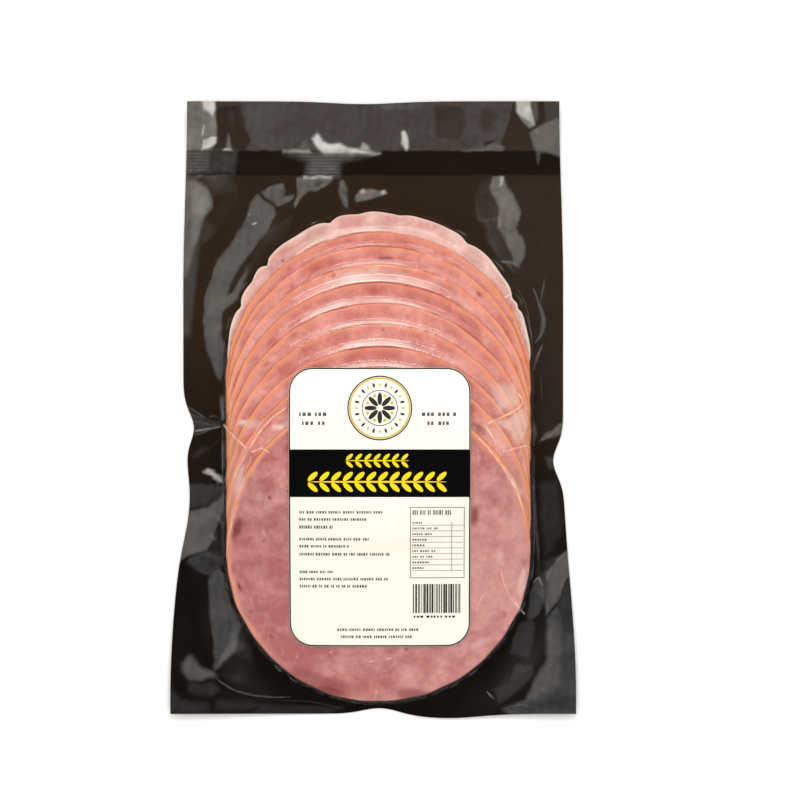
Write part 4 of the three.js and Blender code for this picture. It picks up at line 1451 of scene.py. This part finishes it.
@dataclass
class HamSlices:
    """Ten slices of ham, each a thin disc with a soft, slightly uneven rim, draped over those below it."""

    form: Form
    divisions: int = 96
    thickness: float = 1.85
    inset: float = 0.2  # keeps a slice's rim inside the film's outline
    round_over: float = 0.6
    wobble: float = 0.34
    notches: int = 32  # dips in the lowest slice's ragged edge
    notch_depth: float = 2.0  # the deepest of them
    # dark patches of muscle, and painted shade beside the front slice's top right and along its foot: number
    # of the slice, x, y, length, width, turn in degrees, depth of tone
    muscle_and_shade_patches: tuple[tuple[float, ...], ...] = (
        (2, 4.3, 61.2, 9.5, 1.8, 0, 0.75), (5, -32.4, 30.7, 5.0, 3.6, 40, 0.4),
        (6, -28.3, 24.4, 3.0, 2.2, 20, 0.9), (5, -42.9, 18.7, 2.6, 2.0, 0, 0.7),
        (2, 42.9, 46.8, 3.0, 2.0, 120, 0.8), (6, 17.3, 26.0, 13.0, 3.0, -8, 0.4),
        (4, -20.0, 41.6, 2.4, 1.6, 0, 0.5), (6, -12.0, 31.0, 12.0, 3.0, 6, 0.25),
        # the first patch on this line is a painted shadow beside the front slice's top right edge
        (8, 42.5, -7.6, 9.0, 4.0, -35, 0.6), (8, -41.0, -0.6, 10.0, 4.6, 32, 0.6),
        (9, -54.9, -47.8, 10.4, 4.6, 74, 0.9), (9, -54.1, -71.6, 3.6, 1.8, 115, 1.0),
        (9, -43.0, -46.0, 9.0, 9.0, 0, 0.16), (9, 40.7, -42.4, 9.4, 3.8, 88, 0.8),
        # this line and the next: painted shade along the front slice's foot
        (9, -24.0, -110.0, 36.0, 9.0, -17, 0.55), (9, -18.0, -113.8, 17.0, 5.0, -12, 0.9),
        (9, 17.0, -115.4, 18.0, 6.0, -8, 0.7), (9, 36.0, -111.6, 20.0, 8.0, 20, 0.35),
        (9, -49.6, -81.4, 1.8, 1.3, 0, 0.7), (9, -41.2, -92.0, 1.8, 1.3, 0, 0.7),
        (9, -40.3, -101.3, 3.0, 2.4, 0, 0.45), (9, -19.5, -106.5, 1.6, 1.2, 0, 0.6),
        (9, 7.0, -105.6, 1.6, 1.2, 0, 0.5), (9, 7.1, -97.6, 8.0, 2.2, 15, 0.35),
        (9, -50.0, -51.5, 1.5, 1.2, 0, 0.6), (9, -44.0, -52.6, 1.6, 1.3, 0, 0.7),
        (9, 46.0, -66.0, 14.0, 6.0, 75, 0.14), (9, 47.0, -88.0, 12.0, 5.0, 60, 0.14),
        (9, -47.0, -64.0, 14.0, 7.0, 80, 0.12),
    )

    def slice_radius(self, angle: np.ndarray, number: int) -> np.ndarray:
        """Radius of one slice round its rim, uneven as a cut edge is, and scalloped on the lowest slice."""
        draw = np.random.default_rng(100 + number)
        waves = np.zeros_like(angle)
        for count in (3, 5, 8, 13, 21, 29):
            waves += draw.uniform(0.5, 1.0) * np.sin(count * angle + draw.uniform(0, 2 * math.pi))
        if number > 0:
            return self.form.stack.radius - self.inset - self.wobble * (1 + waves / 3.2)
        dip = np.zeros_like(angle)
        for _ in range(self.notches):
            place, width = draw.uniform(0, 2 * math.pi), draw.uniform(0.02, 0.07)
            depth = self.notch_depth * draw.uniform(0.3, 1.0)
            away = np.abs(np.remainder(angle - place + math.pi, 2 * math.pi) - math.pi)
            dip = np.maximum(dip, depth * np.exp(-((away / width) ** 1.5)))
        return self.form.stack.radius - self.inset - 0.3 * (1 + waves / 3.2) - dip

    def smoke(self, angle: np.ndarray, number: int) -> np.ndarray:
        """How strongly the rim is smoked: more at the sides, and hardly at the front slice's foot."""
        if number < self.form.stack.last:
            return 0.4 + 0.6 * np.cos(angle) ** 2
        left = np.abs(np.remainder(angle, 2 * math.pi) - math.pi)
        return np.maximum(0.08 + 0.92 * smooth_step(-0.15, 0.25, np.sin(angle)), bell(left, 0.5))

    def build(self) -> None:
        """Models every slice and dresses it."""
        stack = self.form.stack
        finish = Ham().make()
        for number, centre_y in enumerate(stack.centres):
            piece, across, along = add_grid(
                f"ham_slice_{number + 1:02d}", self.divisions, self.divisions
            )
            u, v = disc_places(across, along)
            ring, angle = np.hypot(u, v), np.arctan2(v, u)
            radius = self.slice_radius(angle, number)
            away = radius * (1 - (1 - ring) ** 1.5)
            x, y = stack.x + away * np.cos(angle), centre_y + away * np.sin(angle)
            texture = Ripple(0.06, 9.0, 300 + number).at(x, y)
            top = stack.top(number, x, y) - 0.1 + np.minimum(texture, 0.08)
            put_vertices(piece, x, y, top - self.thickness)
            # the lowest slice's fat edge is half as wide as the others' smoked rims
            write_attribute(piece, "rim", (radius - away) * (2.0 if number == 0 else 1.0))
            write_attribute(piece, "smoke", self.smoke(angle, number))
            write_attribute(piece, "seed", 3.7 * number)
            write_attribute(piece, "shade", self.shade(x, y, number))
            write_attribute(piece, "muscle_and_shade", self.muscle_and_shade(x, y, number))
            write_attribute(piece, "warmth", float(number < stack.last))
            write_attribute(piece, "lowest", float(number == 0))
            raised = raise_shell(piece, self.thickness)
            self.round_rim(piece, raised)
            hand_over(piece, finish, Slot.HAM, "sealed_ham")

    def shade(self, x: np.ndarray, y: np.ndarray, number: int) -> np.ndarray:
        """How much paler than its mean a slice is; on the front one this is painted light and shade, paler to
        the right and darker at its foot.
        """
        if number < self.form.stack.last:
            return np.full_like(x, 0.03 * math.cos(2.4 * number))
        return 0.19 * smooth_step(-45, 45, x) - 0.07 - 0.05 * smooth_step(-80, -105, y)

    def muscle_and_shade(self, x: np.ndarray, y: np.ndarray, number: int) -> np.ndarray:
        """How far one slice's tone turns dark: to dark muscle, and to painted shade in the patches beside the
        front slice's top right edge and along its foot.
        """
        dark = np.zeros_like(x)
        for owner, middle_x, middle_y, length, width, turn, depth in self.muscle_and_shade_patches:
            if owner == number:
                cos, sin = math.cos(math.radians(turn)), math.sin(math.radians(turn))
                along = (x - middle_x) * cos + (y - middle_y) * sin
                across = (y - middle_y) * cos - (x - middle_x) * sin
                away = 2 * np.hypot(along / length, across / width)
                dark = np.maximum(dark, depth * (1 - smooth_step(0.4, 1.25, away)))
        return dark

    def round_rim(self, piece: bpy.types.Object, raised: np.ndarray) -> None:
        """Rounds the upper edge of a slice."""
        count = len(piece.data.vertices)
        rim = np.empty(count, dtype=np.float32)
        piece.data.attributes["rim"].data.foreach_get("value", rim)
        places = np.empty(count * 3)
        piece.data.vertices.foreach_get("co", places)
        inward = np.clip(1 - rim / self.round_over, 0, 1)
        drop = self.round_over * (1 - np.sqrt(1 - inward * inward))
        places[2::3] -= np.where(raised, drop, 0) * MM
        piece.data.vertices.foreach_set("co", places)
        piece.data.update()


@dataclass
class Sticker:
    """The printed sticker: cream paper laid over the film, with its print as thin layers of ink."""

    form: Form
    x: float = 2.7
    y: float = -39.3
    width: float = 73.0
    length: float = 112.6
    corner: float = 9.5
    thickness: float = 0.26
    ink: float = 0.03
    ink_lift: float = 0.03  # keeps an ink's lower face clear of the paper's coarser grid
    cell: float = 1.4  # longest face that still follows the paper

    def drape(
        self, piece: bpy.types.Object, x: np.ndarray, y: np.ndarray, layer: int = 1
    ) -> bpy.types.Object:
        """Lays a flat mesh on the paper, in layers of ink counted from 1, or under it for layer 0."""
        lift = self.thickness + layer * (self.ink_lift + self.ink) - self.ink if layer else 0
        put_vertices(piece, x, y, self.form.sticker_underside(x, y) + lift)
        return piece

    def rounded(
        self, u: np.ndarray, v: np.ndarray, inset: float = 0.0
    ) -> tuple[np.ndarray, np.ndarray]:
        """Points on the sticker's rounded outline.

        Args:
            u: places across a square's border, from -1 to 1.
            v: places along it, from -1 to 1.
            inset: how far inside the paper's edge the points lie.

        Returns:
            x and y of each point from the sticker's centre.
        """
        half_width, half_length = self.width / 2 - inset, self.length / 2 - inset
        corner = self.corner - inset
        x, y = u * half_width, v * half_length
        core_x = np.clip(x, corner - half_width, half_width - corner)
        core_y = np.clip(y, corner - half_length, half_length - corner)
        away = np.maximum(np.hypot(x - core_x, y - core_y), 1e-6)
        return core_x + (x - core_x) * corner / away, core_y + (y - core_y) * corner / away

    def paper(self) -> None:
        """Models the sheet of paper and dresses it."""
        piece, across, along = add_grid("label_sheet", 60, 90)
        ring, edge_across, edge_along = rings(across, along)
        rim_x, rim_y = self.rounded(2 * edge_across - 1, 2 * edge_along - 1)
        self.drape(piece, self.x + ring * rim_x, self.y + ring * rim_y, 0)
        raise_shell(piece, self.thickness)
        hand_over(piece, LabelStock().make(), Slot.LABEL_STOCK, "label")

    def block(
        self, left: float, bottom: float, width: float, height: float, layer: int = 1
    ) -> bpy.types.Object:
        """A printed rectangle."""
        columns, rows = math.ceil(width / self.cell), math.ceil(height / self.cell)
        piece, across, along = add_grid("block", columns, rows)
        return self.drape(piece, left + width * across, bottom + height * along, layer)

    def bars(
        self, left: float, bottom: float, height: float, widths: list[float], layer: int = 1
    ) -> bpy.types.Object:
        """Upright bars side by side.

        Args:
            left: x of the first bar.
            bottom: y of the lower ends.
            height: length of the bars.
            widths: widths of a bar, a gap, a bar and so on, ending with a bar.
            layer: layer of ink.

        Returns:
            The bars as one mesh.
        """
        edges = left + np.concatenate([[0.0], np.cumsum(widths)])
        piece, across, along = add_grid("bars", len(widths), math.ceil(height / self.cell))
        column = np.rint(across * len(widths)).astype(int)
        gaps = np.empty(len(piece.data.polygons) * 3)
        piece.data.polygons.foreach_get("center", gaps)
        odd = (gaps[0::3] * len(widths)).astype(int) % 2 == 1
        self.drape(piece, edges[column], bottom + height * along, layer)
        edit(piece)
        bpy.ops.mesh.select_all(action="DESELECT")
        bpy.ops.mesh.select_mode(type="FACE")
        bpy.ops.object.mode_set(mode="OBJECT")
        piece.data.polygons.foreach_set("select", odd)
        bpy.ops.object.mode_set(mode="EDIT")
        bpy.ops.mesh.delete(type="FACE")
        bpy.ops.object.mode_set(mode="OBJECT")
        return piece

    def loop(
        self, inner: tuple[np.ndarray, np.ndarray], outer: tuple[np.ndarray, np.ndarray]
    ) -> bpy.types.Object:
        """A closed ribbon of ink between two outlines, each given as x and y of its points in turn."""
        count = len(inner[0])
        piece, across, along = add_grid("loop", count, 1)
        point = np.rint(across * count).astype(int) % count
        x = inner[0][point] + (outer[0][point] - inner[0][point]) * along
        y = inner[1][point] + (outer[1][point] - inner[1][point]) * along
        self.drape(piece, self.x + x, self.y + y)
        edit(piece)
        bpy.ops.mesh.remove_doubles(threshold=0.001 * MM)
        bpy.ops.mesh.normals_make_consistent(inside=False)
        bpy.ops.object.mode_set(mode="OBJECT")
        return piece

    def ring(self, x: float, y: float, inner: float, outer: float) -> bpy.types.Object:
        """A round ring of ink about a place given from the sticker's centre."""
        turn = np.linspace(0, 2 * math.pi, 72, endpoint=False)
        small = (x + inner * np.cos(turn), y + inner * np.sin(turn))
        large = (x + outer * np.cos(turn), y + outer * np.sin(turn))
        return self.loop(large, small)

    def leaf(
        self, x: float, y: float, length: float, width: float, turn: float, layer: int = 1
    ) -> bpy.types.Object:
        """An oval spot of ink about a place in the pack, turned from +X by an angle in radians."""
        piece, across, along = add_grid("leaf", 6, 6)
        u, v = disc_places(across, along)
        u, v = u * length / 2, v * width / 2
        across = x + u * math.cos(turn) - v * math.sin(turn)
        return self.drape(piece, across, y + u * math.sin(turn) + v * math.cos(turn), layer)

    def words(
        self, left: float, y: float, width: float, height: float, seed: int, pace: float = 1.0
    ) -> bpy.types.Object:
        """A row of small ticks in uneven groups, for a line of small print; pace spreads them out."""
        draw = np.random.default_rng(seed)
        widths: list[float] = []
        while sum(widths) < width:
            for _ in range(draw.integers(2, 8)):
                widths += [draw.uniform(0.35, 0.8) * pace, draw.uniform(0.28, 0.42) * pace]
            widths[-1] = draw.uniform(0.8, 1.1) * pace
        while sum(widths[:-1]) > width:
            widths = widths[:-2]
        return self.bars(left, y - height / 2, height, widths[:-1])

    def printed(self, name: str, ink: Ink, parts: list[bpy.types.Object]) -> None:
        """Joins what is printed in one ink, gives it a thickness and dresses it."""
        piece = join_pieces(name, parts)
        raise_shell(piece, self.ink)
        hand_over(piece, ink.make(), Slot.LABEL_INK, "label")

    def emblem(self) -> tuple[list[bpy.types.Object], list[bpy.types.Object]]:
        """A rosette in two rings: what is dark, and what is gold."""
        x, y = 0.05, 40.1
        centre_x, centre_y = self.x + x, self.y + y
        dark = [self.ring(x, y, 12.5, 13.0), self.ring(x, y, 6.9, 7.2)]
        gold = [self.ring(x, y, 11.7, 12.3)]
        for number in range(8):
            turn = number * math.pi / 4
            place = centre_x + 3.7 * math.cos(turn), centre_y + 3.7 * math.sin(turn)
            dark.append(self.leaf(*place, 5.0, 1.9, turn))
            between = turn + math.pi / 8
            place = centre_x + 5.3 * math.cos(between), centre_y + 5.3 * math.sin(between)
            gold.append(self.leaf(*place, 1.3, 1.3, 0))
        for number in range(24):
            turn = number * math.pi / 12
            place = centre_x + 9.4 * math.cos(turn), centre_y + 9.4 * math.sin(turn)
            (dark if number % 2 else gold).append(
                self.leaf(*place, 1.9 if number % 2 else 1.2, 0.9, turn)
            )
        return dark, gold

    def title(self) -> list[bpy.types.Object]:
        """Two laurel branches on the dark band, in place of a title: a short one over a long one."""
        parts = []
        for y, count, pitch, height in ((-20.3, 7, 3.7, 5.6), (-28.8, 12, 4.7, 8.1)):
            middle = self.x - 1.0
            parts.append(self.leaf(middle, y, count * pitch, height * 0.09, 0, 2))
            for number in range(count):
                x = middle + (number - (count - 1) / 2) * pitch
                for side in (-1, 1):
                    turn = side * math.radians(42)
                    parts.append(
                        self.leaf(x, y + side * height * 0.27, height * 0.62, height * 0.25, turn, 2)
                    )
        return parts

    def table(self) -> list[bpy.types.Object]:
        """A framed table of plain rules."""
        left, bottom, width, height = 14.9, -67.7, 21.9, 28.8
        line = 0.28
        parts = [
            self.block(left, bottom, width, line),
            self.block(left, bottom + height - line, width, line),
            self.block(left, bottom, line, height),
            self.block(left + width - line, bottom, line, height),
            self.block(left + width * 0.76, bottom + 3.0, line * 0.7, height - 9.0),
        ]
        for row in range(9):
            y = bottom + 3.0 + row * 2.3
            parts.append(self.block(left + 0.6, y, width - 1.2, 0.16))
            parts.append(self.words(left + 0.9, y + 1.1, 5.0 + 1.9 * (row * 5 % 4), 0.75, 500 + row))
        parts.append(self.words(left + 1.0, bottom + height - 2.2, 17.0, 1.9, 520))
        return parts

    def barcode(self) -> list[bpy.types.Object]:
        """Upright bars of random width, which encode nothing."""
        draw = np.random.default_rng(41)
        widths = draw.choice([0.3, 0.3, 0.6, 1.0], 53)
        widths[0::2] *= 1.35
        widths *= 19.1 / widths.sum()
        return [
            self.bars(16.1, -81.9, 11.8, list(widths)), self.words(16.4, -83.4, 18.0, 0.8, 530, 1.5)
        ]

    def small_print(self) -> list[bpy.types.Object]:
        """Rows of ticks where the sticker has small print: place, length, height and pace of each."""
        rows = (
            (-29.6, -1.7, 12.8, 1.4, 1.8), (-28.4, -5.3, 9.6, 1.4, 1.8), (19.6, -1.7, 14.6, 1.4, 1.8),
            (21.8, -5.3, 10.0, 1.4, 1.8),
            (-29.6, -41.0, 33.5, 1.0), (-29.6, -43.9, 27.5, 1.0), (-29.6, -47.0, 14.0, 1.2),
            (-29.6, -51.9, 28.0, 1.0), (-29.6, -54.8, 20.0, 1.0), (-29.6, -58.0, 36.5, 1.1),
            (-29.6, -65.2, 14.0, 1.0), (-29.6, -68.1, 36.0, 1.0), (-29.6, -71.0, 27.0, 1.1),
            (-14.5, -88.7, 33.0, 1.0), (-13.0, -91.6, 29.0, 1.0),
        )
        return [self.words(*row[:4], 600 + number, *row[4:]) for number, row in enumerate(rows)]

    def build(self) -> None:
        """Models the paper and its print."""
        self.paper()
        turn = np.linspace(0, 8, 240, endpoint=False)
        side = np.clip(
            np.abs((turn + 7) % 8 - 4) - 2, -1, 1
        ), np.clip(np.abs((turn + 1) % 8 - 4) - 2, -1, 1)
        frame_line = self.loop(self.rounded(*side, 0.6), self.rounded(*side, 0.08))
        dark_emblem, gold_emblem = self.emblem()
        self.printed("label_frame", Ink("black_line_ink", "#161615"), [frame_line])
        band = self.block(self.x - self.width / 2 + 0.3, -34.9, self.width - 0.6, 19.1)
        self.printed("label_band", Ink("black_flood_ink", "#050505", 0.4), [band])
        self.printed("label_title", Ink("yellow_ink", "#f4d71e", 0.4), self.title())
        self.printed("label_emblem_dark", Ink("dark_emblem_ink", "#33302a"), dark_emblem)
        self.printed("label_emblem_gold", Ink("gold_ink", "#d8b545"), gold_emblem)
        self.printed("label_small_print", Ink("grey_text_ink", "#5c5a56"), self.small_print())
        self.printed("label_table", Ink("grey_table_ink", "#6a6864"), self.table())
        self.printed("label_barcode", Ink("black_bar_ink", "#1c1b1a"), self.barcode())


# ---- Studio ----


@dataclass
class Studio:
    """A pale floor, soft light all round but dark straight above, and a camera that looks down."""

    distance: float = 1.803  # metres above the floor
    lens: float = 200.0
    aim: tuple[float, float] = (0.01085, 0.00441)
    sky: float = 1.0
    floor_side: float = 6.0

    def floor(self) -> None:
        """Adds the floor."""
        bpy.ops.object.select_all(action="DESELECT")
        bpy.ops.mesh.primitive_plane_add(size=self.floor_side, location=(0, 0, 0))
        floor = bpy.context.object
        floor.name = "floor"
        material = bpy.data.materials.new("pale_paper_backdrop")
        material.use_nodes = True
        tree = material.node_tree
        tree.nodes.clear()
        matt = add_node(tree, "ShaderNodeBsdfDiffuse", {"Color": (0.97, 0.97, 0.97, 1)})
        add_node(tree, "ShaderNodeOutputMaterial", {"Surface": matt.outputs[0]})
        floor.data.materials.append(material)

    def light(
        self, name: str, place: tuple[float, float, float], size: tuple[float, float], radiance: float
    ) -> None:
        """Adds a soft panel that faces the pack."""
        bpy.ops.object.light_add(type="AREA", location=place)
        panel = bpy.context.object
        panel.name = name
        panel.rotation_euler = mathutils.Vector(place).to_track_quat("Z", "Y").to_euler()
        panel.data.shape = "RECTANGLE"
        panel.data.size, panel.data.size_y = size
        panel.data.energy = radiance * math.pi * size[0] * size[1]

    def sky_light(self) -> None:
        """Lights the scene from all round, with a dark opening straight above for a flat film to mirror."""
        world = bpy.data.worlds.new("soft_tent")
        bpy.context.scene.world = world
        world.use_nodes = True
        tree = world.node_tree
        tree.nodes.clear()
        direction = add_node(tree, "ShaderNodeTexCoord").outputs["Generated"]
        up = add_node(tree, "ShaderNodeSeparateXYZ", {0: direction}).outputs[2]
        dim = mapped(tree, up, 1.0, math.cos(math.radians(9.5)), 0.01, 0.12)
        near = mapped(
            tree,
            up,
            math.cos(math.radians(9.5)),
            math.cos(math.radians(11.5)),
            dim,
            0.4,
            kind="SMOOTHSTEP",
        )
        opening = mapped(
            tree,
            up,
            math.cos(math.radians(15.5)),
            math.cos(math.radians(17.5)),
            near,
            1.1,
            kind="SMOOTHSTEP",
        )
        low = mapped(tree, up, 0.0, 0.45, 0.45, 1.0)
        both = calculate(tree, "MULTIPLY", opening, low)
        strength = calculate(tree, "MULTIPLY", both, self.sky)
        glow = add_node(tree, "ShaderNodeBackground", {"Color": paint("#fffdfa"), "Strength": strength})
        add_node(tree, "ShaderNodeOutputWorld", {"Surface": glow.outputs[0]})

    def camera(self) -> None:
        """Adds the camera."""
        bpy.ops.object.camera_add(location=(*self.aim, self.distance), rotation=(0, 0, 0))
        camera = bpy.context.object
        camera.name = "camera"
        camera.data.lens = self.lens
        camera.data.sensor_width = 36.0
        camera.data.clip_end = 20.0
        bpy.context.scene.camera = camera

    def build(self) -> None:
        """Sets up the floor, the light and the camera."""
        self.floor()
        self.sky_light()
        self.light("header_side_panel", (0.05, 1.05, 0.5), (1.4, 0.6), 1.5)
        self.light("header_side_strip", (-0.05, 0.67, 0.75), (0.8, 0.13), 8.0)
        self.camera()
        bpy.context.scene.view_settings.view_transform = "Standard"


def let_light_through_every_layer() -> None:
    """Lets a ray cross the film, its welts and the shadows they cast without being cut off."""
    bpy.context.scene.cycles.transparent_max_bounces = MOST_CLEAR_FACES


def main() -> None:
    """Builds the pack and the studio, in order."""
    logging.basicConfig(level=logging.INFO, format="%(name)s: %(message)s")
    form = Form()
    BackWeb(form).build()
    HamSlices(form).build()
    FrontFilm(form).build()
    Sticker(form).build()
    Studio().build()
    let_light_through_every_layer()


if __name__ == "__main__":
    main()
